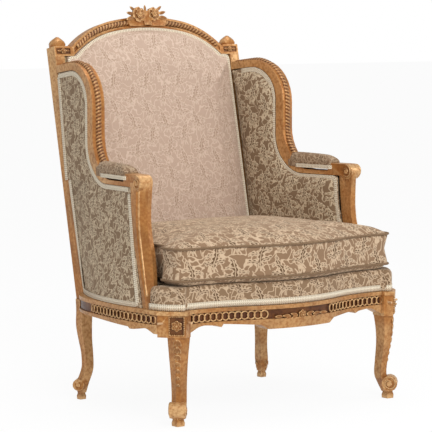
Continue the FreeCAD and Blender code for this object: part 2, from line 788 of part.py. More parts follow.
# Hidden rail behind the arm's upholstery, from the wing's foot back to the upright
def arm_back_rail():
    y0 = 86
    bar_corners = [(y0, 566), (y0, 584), (stile_front(584), 584), (stile_front(566), 566)]
    foot_corners = [(y0, 566), (y0, 630), (y0 + 24, 640), (y0 + 24, 566)]
    bar = side_slab([(corner, 0) for corner in bar_corners], 9, 27)
    foot = side_slab([(corner, 0) for corner in foot_corners], 9, 27)
    bar = bar.fuse(foot).cut(wing_and_arm())
    return bar.fuse(arm_rail_tenon())


# Arm posts: set back from the front legs, curving forward and outward to the seat rail
POST_ROWS = [
    (606, -108, -160, -137, 371.5, 35),
    (551, -111, -156, -135, 371.5, 34),
    (513, -115, -155, -135, 371.5, 34),
    (475, -120, -160, -139, 372, 34),
    (437, -130, -173, -148, 374, 34),
    (400, -146, -187, -161, 378, 33),
    (350, -168, -203, -182, 385, 31),
    (320, -180, -211, -196, 389, 28),
    (292, -188, -215, -205, 391, 26),
]
POST_FOOT_TENON = (376, 386, -207, -195, 272, 296)


def arm_post(arm):
    sections = []
    for z, rear, front_inner, front_outer, outer, width in eased(POST_ROWS, 2):
        points = [
            Vector(outer - width, rear, z), Vector(outer - width, front_inner, z),
            Vector(outer - width * 0.6, front_inner - 2, z), Vector(outer, front_outer, z),
            Vector(outer - 2, rear, z),
        ]
        sections.append(Part.makePolygon(points + [points[0]]))
    post = stacked(sections).cut(arm)
    post = max(post.Solids, key=lambda solid: solid.Volume)
    return post.multiFuse([post_tenon(), block(*POST_FOOT_TENON)])


def mirrored(shape):
    """A shape's mirror image on the left."""
    return shape.mirror(Vector(0, 0, 0), TO_THE_RIGHT)


# Fitting the frame together: each neighbour is cut where the other enters it
side_rail_right = side_rail().cut(block(*POST_FOOT_TENON))
rear_post_right = rear_post().cut(side_rail_right)
rear_board = board(
    "rear_seat_rail", BETWEEN_STILES, "Sheet.board_depth", "Sheet.rail_bottom + 4",
    "Sheet.rail_top - Sheet.rail_bottom - 4", "Sheet.rail_bottom + 8", "26",
    Placement(Vector(0, size["rear_rail_y"], 0), Rotation()),
)
piece(rear_board, "rear_seat_rail")
lower_board = board(
    "back_lower_rail", BETWEEN_STILES, "Sheet.back_board_depth", "Sheet.back_board_low",
    "Sheet.back_board_height", "Sheet.back_board_low + 4", "18",
    BACK.multiply(Placement(Vector(0, size["back_board_front"], 0), Rotation())),
)
piece(lower_board, "back_lower_rail")
front_leg_right = front_leg()
front_seat_rail = front_rail()
blocks = corner_blocks([side_rail_right])
pair("front_leg", front_leg_right)
pair("rear_post", rear_post_right)
shaped("front_seat_rail", front_seat_rail)
pair("side_seat_rail", side_rail_right)
shaped("corner_blocks", Part.makeCompound(blocks + [mirrored(fitted) for fitted in blocks]))
shaped("joint_pegs", Part.makeCompound(JOINT_PEGS + [mirrored(each) for each in JOINT_PEGS]))
crest = crest_rail().multiFuse([crest_carving(), finial(), mirrored(finial())])
shaped("crest_rail", crest)
wing_right = wing_rail()
arm_right = arm_rail().cut(wing_right)
post_right = arm_post(arm_right)
tacking_rail = arm_back_rail().cut(wing_right)
pair("wing_rail", wing_right)
pair("arm_rail", arm_right)
pair("arm_post", post_right)
pair("arm_back_rail", tacking_rail)


def plan_crossing(wire, axis, value):
    """Where a plan line crosses X = value (axis 0) or Y = value (axis 1), on its outermost side."""
    if axis == 0:
        ray = Part.LineSegment(Vector(value, -500, 0), Vector(value, -200, 0)).toShape()
    else:
        ray = Part.LineSegment(Vector(500, value, 0), Vector(200, value, 0)).toShape()
    point = wire.distToShape(ray)[1][0][0]
    return point.y if axis == 0 else point.x


# Seat webbing: strips tacked on the rails, the crosswise ones over the lengthwise ones
FRONT_FACE = Part.Wire(front_line(0))
SIDE_FACE = rounded([((x, y, 0), radius) for (x, y), radius in SIDE_LINE])
TACK_MARGIN = 12.0


def strips(label, boxes, **expressions):
    """A set of webbing strips, each a box whose width and thickness come from the sheet."""
    made = []
    for corner, length, along in boxes:
        strip = doc.addObject("Part::Box", label + "_strip")
        strip.Placement = Placement(corner, Rotation())
        bind(strip, Height="Sheet.web_thickness")
        if along == "y":
            strip.Width = length
            bind(strip, Length="Sheet.web_width")
        else:
            strip.Length = length
            bind(strip, Width="Sheet.web_width")
        for path, expression in expressions.items():
            strip.setExpression("." + path.replace("__", "."), expression)
        made.append(strip)
    whole = doc.addObject("Part::Compound", label + "_strips")
    whole.Links = made
    return piece(whole, label)


web = size["web_width"]
sheet_web = size["web_thickness"]
lengthwise = []
for x in (-240, -120, 0, 120, 240):
    y0 = plan_crossing(FRONT_FACE, 0, abs(x) + web / 2) + TACK_MARGIN + 6
    lengthwise.append((Vector(x - web / 2, y0, top), 205 - y0, "y"))
strips("seat_webbing_lengthwise", lengthwise, Placement__Base__z="Sheet.rail_top")
crosswise = []
for y in (-150, -60, 30, 118):
    x1 = plan_crossing(SIDE_FACE, 1, y + web / 2) - 2.2 * TACK_MARGIN
    crosswise.append((Vector(-x1, y - web / 2, top + sheet_web), 2 * x1, "x"))
strips("seat_webbing_crosswise", crosswise, Placement__Base__z="Sheet.rail_top + Sheet.web_thickness")


doc.recompute()

# Stuffed seat platform: a shallow drum on the rails, with horsehair over hessian
def platform_points(inset, z):
    """The platform's plan, in front of the arm posts and between the sides' padding."""
    front_run = front_points(5 + inset, 330 - inset, z)
    right = [
        ((347 - inset, -310 + inset, z), 8), ((378 - inset, -281 + inset, z), 14),
        ((391 - inset, -258 + inset, z), 20), ((396 - inset, -222 - inset, z), 6),
        ((330 - inset, -220 - inset, z), 6), ((300 - inset, 170 - inset, z), 6),
    ]
    left = [((-x, y, z), radius) for (x, y, z), radius in reversed(right)]
    front_run[0] = (front_run[0][0], 12)
    front_run[-1] = (front_run[-1][0], 12)
    return front_run + right + left


def scaled_ring(points, factor, centre):
    drawn = outline(points, True)
    drawn.scale(factor, centre)
    return drawn


SEAT_CENTRE_Y = -90.0
platform_rings = []
for z, factor in ((top, 1.0), (341, 1.0), (size["platform_top"], 0.975)):
    platform_rings.append(scaled_ring(platform_points(0, z), factor, Vector(0, SEAT_CENTRE_Y, z)))
platform = stacked(platform_rings)
web_top = top + 2 * sheet_web
hessian_top = web_top + size["cloth_thickness"]
pocket = block(-420, 420, -224, 220, top - 1, hessian_top)
for reach, y0 in ((265, -286), (150, -322), (30, -338)):
    pocket = pocket.fuse(block(-reach, reach, y0, -200, top - 1, hessian_top))
hessian = block(-284, 284, -222, 200, web_top, hessian_top)
for reach, y0 in ((264, -285), (149, -321), (29, -337)):
    hessian = hessian.fuse(block(-reach, reach, y0, -200, web_top, hessian_top))
shaped("seat_hessian", hessian)
shaped("seat_platform", platform.cut(pocket))


# Loose cushion: T shaped, with drawn-in boxing between two seams and a crowned top
def cushion_points(z):
    """The cushion's plan: it follows the serpentine front and steps in behind the arm posts."""
    right = [
        ((361, -300, z), 28), ((361, -223, z), 14), ((329, -216, z), 0), ((286, 156, z), 22),
    ]
    left = [((-x, y, z), radius) for (x, y, z), radius in reversed(right)]
    return front_points(-3, 300, z)[1:-1] + right + left


CUSHION_SECTIONS = [
    (size["cushion_bottom"], 0.94), (size["cushion_low_seam"], 1.0), (407, 0.975),
    (size["cushion_high_seam"], 1.0), (465, 0.9), (size["cushion_crown"], 0.66),
]
cushion_rings = []
for z, factor in CUSHION_SECTIONS:
    cushion_rings.append(scaled_ring(cushion_points(z), factor, Vector(0, SEAT_CENTRE_Y, z)))
shaped("seat_cushion", stacked(cushion_rings))


# Inside back: webbing and hessian between the uprights, and a stuffed pad over them
def back_outline(half_width, low_edge, inset, y):
    """The upholstered back's outline: arched above, straight at the sides and below."""
    curve = arch(size["arch_inner"] - 0.4 - inset, 253.7 - inset, 921.5 - inset)
    for edge in curve:
        edge.translate(Vector(0, y, 0))
    low_end = curve[0].Vertexes[0].Point
    side = half_width - inset
    corners = []
    for x, z in ((-low_end.x, low_end.z), (side, low_end.z), (side, low_edge + inset)):
        corners.append(Vector(x, y, z))
    corners += [Vector(-corner.x, y, corner.z) for corner in reversed(corners)]
    runs = [Part.LineSegment(a, b).toShape() for a, b in zip(corners, corners[1:])]
    return Part.Wire(Part.__sortEdges__(curve + runs))


PAD_HALF = 278.6
pad_base = slope(353.2)
LAYER = size["back_board_front"]
FLANGE = -2.0
gimp = size["gimp_width"]
gimp_thick = size["gimp_thickness"]

verticals = []
for x in (-130, 0, 130):
    left, right = x - web / 2, x + web / 2
    verticals.append(block(left, right, LAYER - sheet_web, LAYER, size["back_board_low"], slope(990)))
levels = []
inner_gap = size["stile_outer"] - size["stile_width"]
for z in (110, 245, 380, 515):
    front, rear = LAYER - 2 * sheet_web, LAYER - sheet_web
    levels.append(block(-inner_gap, inner_gap, front, rear, z - web / 2, z + web / 2))
back_webbing = verticals[0].multiFuse(verticals[1:] + levels)
shaped("back_webbing", raked(back_webbing).cut(crest))
hessian_back = LAYER - 2 * sheet_web
back_hessian = Part.Face(back_outline(inner_gap - 0.3, 30, 0.2, hessian_back)).extrude(
    Vector(0, -size["cloth_thickness"], 0)
)
shaped("back_hessian", raked(back_hessian))

pad_back = hessian_back - size["cloth_thickness"]
flat_pad = Part.Face(back_outline(PAD_HALF, pad_base, 0, pad_back)).extrude(Vector(0, FLANGE - pad_back, 0))
PAD_CENTRE_Z = slope(640)
swell = []
for y, factor in ((FLANGE, 1.0), (-14, 0.995), (-25, 0.965), (-33, 0.88)):
    edge = back_outline(PAD_HALF, pad_base, gimp, y)
    edge.scale(factor, Vector(0, y, PAD_CENTRE_Z))
    swell.append(edge)
back_pad_local = flat_pad.fuse(Part.makeLoft(swell, True, True))
back_pad = raked(back_pad_local)
shaped("inside_back_pad", back_pad)


def back_braid(half_width, low_edge, y, thickness):
    """Braid laid round the back's edge: the ring between two outlines."""
    whole = Part.Face(back_outline(half_width, low_edge, 0.3, y))
    hole = Part.Face(back_outline(half_width, low_edge, gimp, y))
    return raked(whole.cut(hole).extrude(Vector(0, thickness, 0)))


back_gimp = back_braid(PAD_HALF, pad_base, FLANGE, -gimp_thick)
shaped("gimp_inside_back", back_gimp)

# Outside back: a tight cloth panel across the uprights' rear, edged with braid
PANEL_Y = size["back_board_front"] + size["back_board_depth"]
panel_base = size["back_board_low"]
outside_back = Part.Face(back_outline(inner_gap - 0.3, panel_base, 0, PANEL_Y)).extrude(Vector(0, 2, 0))
shaped("outside_back_panel", raked(outside_back))
shaped("gimp_outside_back", back_braid(inner_gap - 0.3, panel_base, PANEL_Y + 2, gimp_thick))


# Inside sides: one stuffed pad from the wing down behind the arm post to the seat
def side_pad_points(inset):
    """The side pad's outline in the side's plane, moved inwards."""
    return [
        ((196 + inset, 353.2 + inset), 0), ((302 - 1.2 * inset, 876.6 - inset), 0),
        ((128.4 + inset, 896.6 - inset), 90 - inset), ((128.4 + inset, 650 - 0.4 * inset), 105 + inset),
        ((58 + 0.4 * inset, 593.6 - inset), 90 + inset), ((-105 + inset, 593.6 - inset), 0),
        ((-111 + inset, 513), 150), ((-126 + inset, 437), 100), ((-164 + inset, 353.2 + inset), 0),
    ]


SIDE_FLANGE = 38.0


def side_ring(inset, depth):
    x = size["stile_outer"] - depth
    return outline([((x, y, z), radius) for (y, z), radius in side_pad_points(inset)], True)


side_base = Part.Face(side_ring(0, 28)).extrude(Vector(28 - SIDE_FLANGE, 0, 0))
side_levels = []
for depth, factor in ((SIDE_FLANGE, 1.0), (44, 0.985), (48, 0.945)):
    level = side_ring(gimp, depth)
    level.scale(factor, Vector(size["stile_outer"] - depth, 150, 520))
    side_levels.append(level)
side_swell = stacked(side_levels)
side_pad = swung(side_base.fuse(side_swell)).cut(back_pad).cut(back_gimp)
side_pad = max(side_pad.Solids, key=lambda solid: solid.Volume).cut(raked(block(0, 400, 0, 60, 0, 700)))
pair("inside_side_pad", side_pad)
braid = Part.Face(side_ring(0.3, SIDE_FLANGE)).cut(Part.Face(side_ring(gimp, SIDE_FLANGE)))
braid = swung(braid.extrude(Vector(-gimp_thick, 0, 0))).cut(back_pad).cut(back_gimp)
braid = braid.cut(raked(block(0, 400, -34, 60, 0, 700)))
pair("gimp_inside_side", max(braid.Solids, key=lambda solid: solid.Volume))


# Outside sides: tight cloth from the swelling seat rail up to the straight wing and arm
PANEL_ROWS = [
    (292.2, (313.5, 182.2), (389, -5), (390.5, -186)),
    (420, (317, 208), (357, 35), (372.5, -136)),
    (594, (320, 243.6), (343.5, 69), (364.5, -105.5)),
]


BOW_POINTS = 6


def panel_skin(rows, outward, thickness):
    """A cloth skin through plan arcs at several heights, from an outward shift inwards."""
    sections = []
    for z, rear, mid, front in rows:
        bow = Part.Arc(*[Vector(x + outward, y, z) for x, y in (rear, mid, front)])
        outer = bow.toShape().discretize(BOW_POINTS)
        inner = [point - TO_THE_RIGHT * thickness for point in reversed(outer)]
        sections.append(Part.makePolygon(outer + inner + [outer[0]]))
    return stacked(sections)


def panel_points(inset):
    """The upper cloth panel's edge against the wing, from the upright to under the arm."""
    return [
        ((302, 876.6 - inset), 0), ((128.4 + inset, 896.6 - inset), 90 - inset),
        ((128.4 + inset, 650 - 0.4 * inset), 105 + inset), ((58 + 0.4 * inset, 593.6 - inset), 90 + inset),
        ((10, 593.6 - inset), 0),
    ]


upper_panel = side_slab(panel_points(0) + [((10, 592.6), 0), ((244.6, 592.6), 0)], 2, 6)
lower_panel = panel_skin(PANEL_ROWS, 0, 4)
outside_side = lower_panel.fuse(upper_panel).cut(arm_right).cut(wing_right).cut(rear_post_right)
outside_side = outside_side.cut(tacking_rail).cut(post_right)
outside_side = max(outside_side.Solids, key=lambda solid: solid.Volume)
pair("outside_side_panel", outside_side)

def panel_row(height):
    """The panel's plan arc at any height between its rows."""
    first = 0 if height < PANEL_ROWS[1][0] else 1
    lower, upper = PANEL_ROWS[first], PANEL_ROWS[first + 1]
    share = (height - lower[0]) / (upper[0] - lower[0])
    row = [height]
    for a, b in zip(lower[1:], upper[1:]):
        row.append(tuple(p + (q - p) * share for p, q in zip(a, b)))
    return row


low_z, high_z = PANEL_ROWS[0][0], PANEL_ROWS[2][0]
side_braids = [
    panel_skin([panel_row(low_z), panel_row(low_z + gimp)], gimp_thick, gimp_thick),
    side_slab(panel_points(0) + list(reversed(panel_points(gimp))), 2 - gimp_thick, 2),
]
neighbours = [outside_side, rear_post_right, post_right, wing_right, arm_right]
fitted_braids = []
for strip in side_braids:
    for neighbour in neighbours:
        strip = strip.cut(neighbour)
    fitted_braids.append(max(strip.Solids, key=lambda solid: solid.Volume))
pair("gimp_outside_side", Part.makeCompound(fitted_braids))


# Arm pads: short domed pads on the arm rails, each running back into the wing's curve
def arm_pad():
    middle = size["stile_outer"] - size["side_thickness"] / 2
    half = 22.0
    base = size["arm_top"]
    left_foot, right_foot = Vector(middle - half, -90, base), Vector(middle + half, -90, base)
    left_top, right_top = left_foot + UP * 20, right_foot + UP * 20
    dome = Part.Arc(left_top, Vector(middle, -90, base + 42), right_top).toShape()
    across = closed_face([dome], right_top, right_foot, left_foot, left_top).extrude(Vector(0, 190, 0))
    length = prism(
        [
            ((200, -84, base), 0), ((200, -84, base + 22), 14), ((200, -58, base + 38), 60),
            ((200, 20, base + 41), 60), ((200, 78, base + 44), 0), ((200, 78, base), 0),
        ],
        Vector(200, 0, 0),
    )
    return swung(across.common(length)).cut(arm_right).cut(wing_right).cut(wing_roll())


pad_right = arm_pad()
pad_right = max(pad_right.Solids, key=lambda solid: solid.Volume)
pair("arm_pad", pad_right)


def arm_braid():
    """Braid round the arm pad's foot, on three sides."""
    thickness = size["gimp_thickness"]
    middle = size["stile_outer"] - size["side_thickness"] / 2
    half = 22.0
    reach = half + thickness
    outer = swung(block(middle - reach, middle + reach, -84 - thickness, 50, 610, 621))
    inner = swung(block(middle - half, middle + half, -84, 60, 600, 630))
    return outer.cut(inner).cut(pad_right).cut(arm_right).cut(wing_right)


pair("gimp_arm_pad", max(arm_braid().Solids, key=lambda solid: solid.Volume))

# Seat braid: along the platform's foot, from one arm post round the front to the other
seat_ring = Part.Face(outline(platform_points(-gimp_thick, top), True))
seat_ring = seat_ring.cut(Part.Face(outline(platform_points(0, top), True)))
seat_braid = seat_ring.extrude(UP * size["seat_gimp_width"])
seat_braid = seat_braid.common(block(-500, 500, -500, -224, 250, 400))
shaped("gimp_seat", Part.makeCompound([run for run in seat_braid.Solids if run.Volume > 50]))

# Bottom cloth: closes the seat frame from below
cloth_z = size["rail_bottom"] + 4 - size["cloth_thickness"]
cloth_side = [
    ((347, -290, cloth_z), 0), ((378, -262, cloth_z), 0), ((384, -140, cloth_z), 0),
    ((348, 116, cloth_z), 0), ((284, 180, cloth_z), 0), ((284, 205, cloth_z), 0),
]
cloth_other_side = [((-x, y, z), 0) for (x, y, z), _ in reversed(cloth_side)]
cloth_front = front_points(20, 320, cloth_z)
bottom_cloth = Part.Face(outline(cloth_front + cloth_side + cloth_other_side, True)).extrude(
    UP * size["cloth_thickness"]
)
bottom_cloth = bottom_cloth.cut(front_seat_rail)
for frame_part in (front_leg_right, side_rail_right, rear_post_right):
    bottom_cloth = bottom_cloth.cut(frame_part).cut(mirrored(frame_part))
shaped("bottom_cloth", max(bottom_cloth.Solids, key=lambda solid: solid.Volume))

# The finished pieces are checked, then each is written under its own name
doc.recompute()
for obj in doc.Objects:
    if "Invalid" in obj.State or "Error" in obj.State:
        raise RuntimeError(f"{obj.Label} failed: {obj.State}")
for obj in pieces:
    if obj.Shape.isNull() or not obj.Shape.isValid() or not obj.Shape.Solids:
        raise RuntimeError(f"{obj.Label} has no sound shape")
os.makedirs("parts", exist_ok=True)
for obj in pieces:
    obj.Shape.exportStep(f"parts/{obj.Label}.step")
print(len(pieces), "pieces written")
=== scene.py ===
import math

import bmesh
import bpy
from mathutils import Matrix, Vector
from mathutils.bvhtree import BVHTree


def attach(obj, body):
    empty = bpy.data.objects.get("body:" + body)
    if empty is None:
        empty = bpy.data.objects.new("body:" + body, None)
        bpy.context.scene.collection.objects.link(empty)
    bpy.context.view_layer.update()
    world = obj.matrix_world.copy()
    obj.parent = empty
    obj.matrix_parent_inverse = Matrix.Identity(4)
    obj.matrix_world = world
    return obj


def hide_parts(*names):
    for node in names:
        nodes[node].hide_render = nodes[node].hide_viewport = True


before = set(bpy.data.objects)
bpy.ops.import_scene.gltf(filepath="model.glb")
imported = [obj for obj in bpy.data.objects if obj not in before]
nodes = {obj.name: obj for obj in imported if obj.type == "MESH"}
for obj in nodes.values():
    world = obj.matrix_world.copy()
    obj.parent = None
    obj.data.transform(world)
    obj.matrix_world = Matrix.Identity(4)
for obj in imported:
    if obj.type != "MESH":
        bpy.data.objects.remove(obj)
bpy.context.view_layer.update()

# Where the chair stands: a pale floor that fades to white, soft lamps in front and above,
# and a camera a little above the seat, turned to the chair's left front corner.


def paint(red, green, blue):
    """A colour as read off a paint card, 0 to 255, in the light's own scale."""
    shares = [value / 255 for value in (red, green, blue)]
    light = [c / 12.92 if c <= 0.04045 else ((c + 0.055) / 1.055) ** 2.4 for c in shares]
    return (*light, 1.0)


floor_mesh = bpy.data.meshes.new("studio_floor")
bm = bmesh.new()
bmesh.ops.create_grid(bm, x_segments=1, y_segments=1, size=30)
bm.to_mesh(floor_mesh)
bm.free()
floor = bpy.data.objects.new("studio_floor", floor_mesh)
bpy.context.collection.objects.link(floor)
white_floor = bpy.data.materials.new("white_floor")
white_floor.use_nodes = True
tree = white_floor.node_tree
surface = tree.nodes["Principled BSDF"]
surface.inputs["Base Color"].default_value = (0.9, 0.9, 0.9, 1)
surface.inputs["Roughness"].default_value = 0.9
glow = tree.nodes.new("ShaderNodeEmission")
glow.inputs["Color"].default_value = (1, 1, 1, 1)
eye_ray = tree.nodes.new("ShaderNodeLightPath")
seen = tree.nodes.new("ShaderNodeMath")
seen.operation = "MAXIMUM"
tree.links.new(eye_ray.outputs["Is Camera Ray"], seen.inputs[0])
tree.links.new(eye_ray.outputs["Is Glossy Ray"], seen.inputs[1])
share = tree.nodes.new("ShaderNodeMath")
share.operation = "MULTIPLY"
share.inputs[1].default_value = 0.93
tree.links.new(seen.outputs[0], share.inputs[0])
blend = tree.nodes.new("ShaderNodeMixShader")
tree.links.new(share.outputs[0], blend.inputs["Fac"])
tree.links.new(surface.outputs[0], blend.inputs[1])
tree.links.new(glow.outputs[0], blend.inputs[2])
tree.links.new(blend.outputs[0], tree.nodes["Material Output"].inputs["Surface"])
floor_mesh.materials.append(white_floor)

world = bpy.data.worlds.new("studio")
bpy.context.scene.world = world
world.use_nodes = True
tree = world.node_tree
sky = tree.nodes["Background"]
eye_ray = tree.nodes.new("ShaderNodeLightPath")
seen = tree.nodes.new("ShaderNodeMath")
seen.operation = "MAXIMUM"
tree.links.new(eye_ray.outputs["Is Camera Ray"], seen.inputs[0])
tree.links.new(eye_ray.outputs["Is Transmission Ray"], seen.inputs[1])
level = tree.nodes.new("ShaderNodeMapRange")
level.inputs["To Min"].default_value = 0.55
level.inputs["To Max"].default_value = 1.0
tree.links.new(seen.outputs[0], level.inputs["Value"])
tree.links.new(level.outputs[0], sky.inputs["Strength"])
sky.inputs["Color"].default_value = (1, 1, 1, 1)

for name, place, power, width in (
    ("front_lamp", (-1.4, -3.6, 2.9), 120, 2.4),
    ("right_lamp", (3.4, -2.2, 2.0), 30, 2.0),
    ("top_lamp", (0.3, 0.2, 3.6), 36, 2.2),
):
    lamp = bpy.data.lights.new(name, "AREA")
    lamp.energy = power
    lamp.shape = "DISK"
    lamp.size = width
    holder = bpy.data.objects.new(name, lamp)
    holder.location = place
    holder.rotation_euler = (Vector((0, 0, 0.55)) - Vector(place)).to_track_quat("-Z", "Y").to_euler()
    bpy.context.collection.objects.link(holder)

camera_data = bpy.data.cameras.new("camera")
camera_data.lens = 194.39
camera_data.sensor_width = 36
camera = bpy.data.objects.new("camera", camera_data)
camera.location = (-3.8483, -4.9468, 1.0469)
camera.rotation_euler = (math.radians(84.948), 0, math.radians(-37.825))
bpy.context.collection.objects.link(camera)
bpy.context.scene.camera = camera
bpy.context.scene.view_settings.view_transform = "Standard"


# The carved frame: beech, cut to shape, coated with gesso and gilded. The gold is toned brown
# at random, with painted shade in the hollows and a painted highlight on the high edges.


def sum_of(tree, operation, first, second=None, third=None):
    """One step of arithmetic on sockets or numbers."""
    node = tree.nodes.new("ShaderNodeMath")
    node.operation = operation
    for index, value in enumerate((first, second, third)):
        if value is None:
            continue
        if isinstance(value, (int, float)):
            node.inputs[index].default_value = value
        else:
            tree.links.new(value, node.inputs[index])
    return node.outputs[0]


def ramp_of(tree, value, low, high, to_low=0.0, to_high=1.0, smooth=True):
    """A value brought from one range to another, without overshoot."""
    node = tree.nodes.new("ShaderNodeMapRange")
    node.interpolation_type = "SMOOTHSTEP" if smooth else "LINEAR"
    tree.links.new(value, node.inputs["Value"])
    node.inputs["From Min"].default_value = low
    node.inputs["From Max"].default_value = high
    node.inputs["To Min"].default_value = to_low
    node.inputs["To Max"].default_value = to_high
    return node.outputs[0]


def mixed(tree, factor, first, second):
    """Two colours mixed by a factor; each may be a socket or a colour."""
    node = tree.nodes.new("ShaderNodeMix")
    node.data_type = "RGBA"
    if isinstance(factor, (int, float)):
        node.inputs[0].default_value = factor
    else:
        tree.links.new(factor, node.inputs[0])
    for socket, value in ((node.inputs[6], first), (node.inputs[7], second)):
        if isinstance(value, tuple):
            socket.default_value = value
        else:
            tree.links.new(value, socket)
    return node.outputs[2]


def mottled(tree, vector, scale, detail=4.0, rough=0.55):
    """Soft mottling of a given scale per metre."""
    node = tree.nodes.new("ShaderNodeTexNoise")
    node.inputs["Scale"].default_value = scale
    node.inputs["Detail"].default_value = detail
    node.inputs["Roughness"].default_value = rough
    tree.links.new(vector, node.inputs["Vector"])
    return node.outputs["Fac"]


gilding = bpy.data.node_groups.new("old_gilding", "ShaderNodeTree")
gilding.interface.new_socket(name="Place", in_out="INPUT", socket_type="NodeSocketVector")
gilding.interface.new_socket(name="Toning_and_shade", in_out="INPUT", socket_type="NodeSocketFloat")
gilding.interface.new_socket(name="Color", in_out="OUTPUT", socket_type="NodeSocketColor")
gilding.interface.new_socket(name="Roughness", in_out="OUTPUT", socket_type="NodeSocketFloat")
gilding.interface.new_socket(name="Height", in_out="OUTPUT", socket_type="NodeSocketFloat")
way_in = gilding.nodes.new("NodeGroupInput")
way_out = gilding.nodes.new("NodeGroupOutput")
place = way_in.outputs["Place"]
cloudy = mottled(gilding, place, 14)
speckle = mottled(gilding, place, 130, 6)
fine = mottled(gilding, place, 620, 3)
shape_edge = gilding.nodes.new("ShaderNodeNewGeometry").outputs["Pointiness"]
# Painted shade in the hollows and a painted highlight on the ridges, both found from the mesh's pointiness
painted_recess_shade = ramp_of(gilding, shape_edge, 0.5, 0.42)
ridge = ramp_of(gilding, shape_edge, 0.51, 0.58)
toning_and_painted_shade = sum_of(gilding, "MULTIPLY", ramp_of(gilding, cloudy, 0.42, 0.72), 0.38)
toning_and_painted_shade = sum_of(gilding, "ADD", toning_and_painted_shade, sum_of(gilding, "MULTIPLY", painted_recess_shade, 0.75))
toning_and_painted_shade = sum_of(gilding, "ADD", toning_and_painted_shade, way_in.outputs["Toning_and_shade"])
toning_and_painted_shade = sum_of(gilding, "MULTIPLY", toning_and_painted_shade, ramp_of(gilding, speckle, 0.25, 0.65, 0.8, 1.1))
clamp = gilding.nodes.new("ShaderNodeClamp")
gilding.links.new(toning_and_painted_shade, clamp.inputs[0])
gold = mixed(gilding, ramp_of(gilding, speckle, 0.35, 0.7), paint(160, 100, 44), paint(182, 124, 62))
toned_and_shaded = mixed(gilding, clamp.outputs[0], gold, paint(84, 44, 16))
# Painted highlight: the ridges are lightened to a pale gold, mottled by the speckle
painted_highlight = sum_of(gilding, "MULTIPLY", ridge, ramp_of(gilding, speckle, 0.3, 0.6, 0.2, 0.7))
gilding.links.new(mixed(gilding, painted_highlight, toned_and_shaded, paint(230, 190, 136)), way_out.inputs["Color"])
gilding.links.new(ramp_of(gilding, speckle, 0.3, 0.7, 0.5, 0.34), way_out.inputs["Roughness"])
gilding.links.new(
    sum_of(gilding, "ADD", sum_of(gilding, "MULTIPLY", speckle, 0.6), sum_of(gilding, "MULTIPLY", fine, 0.25)),
    way_out.inputs["Height"],
)


def gilt(name, toning, metal=0.42, band=None):
    """Gold leaf over gesso with its own depth of brown toning.
    Band is a sunk strip between two heights, darkened with painted shade.
    A carved piece's own attribute marks where it is cut deep, and these grooves get painted shade too."""
    material = bpy.data.materials.new(name)
    material.use_nodes = True
    tree = material.node_tree
    shader = tree.nodes["Principled BSDF"]
    shader.inputs["Metallic"].default_value = metal
    where = tree.nodes.new("ShaderNodeTexCoord")
    leaf = tree.nodes.new("ShaderNodeGroup")
    leaf.node_tree = gilding
    # Painted shade in a carved piece's grooves, read from its own attribute
    cut = tree.nodes.new("ShaderNodeAttribute")
    cut.attribute_name = "painted_recess_shade"
    depth = sum_of(tree, "MULTIPLY_ADD", cut.outputs["Fac"], 0.85, toning)
    # Painted shade: the sunk band between the two heights is darkened
    if band:
        height = tree.nodes.new("ShaderNodeSeparateXYZ")
        tree.links.new(where.outputs["Object"], height.inputs[0])
        above = ramp_of(tree, height.outputs["Z"], band[0], band[0] + 0.002)
        below = ramp_of(tree, height.outputs["Z"], band[1], band[1] - 0.002)
        depth = sum_of(tree, "MULTIPLY_ADD", sum_of(tree, "MULTIPLY", above, below), 0.36, depth)
    tree.links.new(depth, leaf.inputs["Toning_and_shade"])
    tree.links.new(where.outputs["Object"], leaf.inputs["Place"])
    tree.links.new(leaf.outputs["Color"], shader.inputs["Base Color"])
    tree.links.new(leaf.outputs["Roughness"], shader.inputs["Roughness"])
    bump = tree.nodes.new("ShaderNodeBump")
    bump.inputs["Strength"].default_value = 0.35
    bump.inputs["Distance"].default_value = 0.0006
    tree.links.new(leaf.outputs["Height"], bump.inputs["Height"])
    tree.links.new(bump.outputs[0], shader.inputs["Normal"])
    return material


smooth_gold = gilt("smooth_gilding", 0.0)
toned_gold = gilt("toned_gilding", 0.32)
dark_gold = gilt("carved_gilding", 0.42, 0.35)
rail_gold = gilt("rail_gilding", 0.12, band=(0.257, 0.282))


def made(name, bm, material, slot, body="chair", sharp=None):
    """A finished piece from its mesh, in its finish, riding on its body.
    Sharp is the angle in degrees up to which it is shaded smooth."""
    mesh = bpy.data.meshes.new(name)
    bm.to_mesh(mesh)
    bm.free()
    if sharp is not None:
        mesh.polygons.foreach_set("use_smooth", [True] * len(mesh.polygons))
        if sharp < 180:
            mesh.set_sharp_from_angle(angle=math.radians(sharp))
    mesh.materials.append(material)
    obj = bpy.data.objects.new(name, mesh)
    bpy.context.collection.objects.link(obj)
    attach(obj, body)
    return obj


def welded(node):
    """A working copy of a CAD node's mesh, with its loose triangles joined."""
    bm = bmesh.new()
    bm.from_mesh(nodes[node].data)
    bmesh.ops.remove_doubles(bm, verts=bm.verts, dist=2e-5)
    bmesh.ops.dissolve_limit(bm, angle_limit=math.radians(0.5), verts=bm.verts, edges=bm.edges)
    return bm


def timber(node, material, edge=0.0009, sharp=32):
    """A piece of the frame with its arrises eased as a carver leaves them."""
    piece = made("carved_" + node, welded(node), material, "giltwood", sharp=sharp)
    soften = piece.modifiers.new("arrises", "BEVEL")
    soften.width = edge
    soften.segments = 2
    soften.limit_method = "ANGLE"
    soften.angle_limit = math.radians(34)
    soften.harden_normals = True
    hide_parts(node)
    return piece


for side in ("right", "left"):
    timber("front_leg_" + side, smooth_gold)
    timber("rear_post_" + side, smooth_gold)
    timber("side_seat_rail_" + side, rail_gold)
    timber("wing_rail_" + side, smooth_gold)
    timber("arm_rail_" + side, smooth_gold)
    timber("arm_post_" + side, smooth_gold)
timber("front_seat_rail", rail_gold)
timber("crest_rail", smooth_gold)

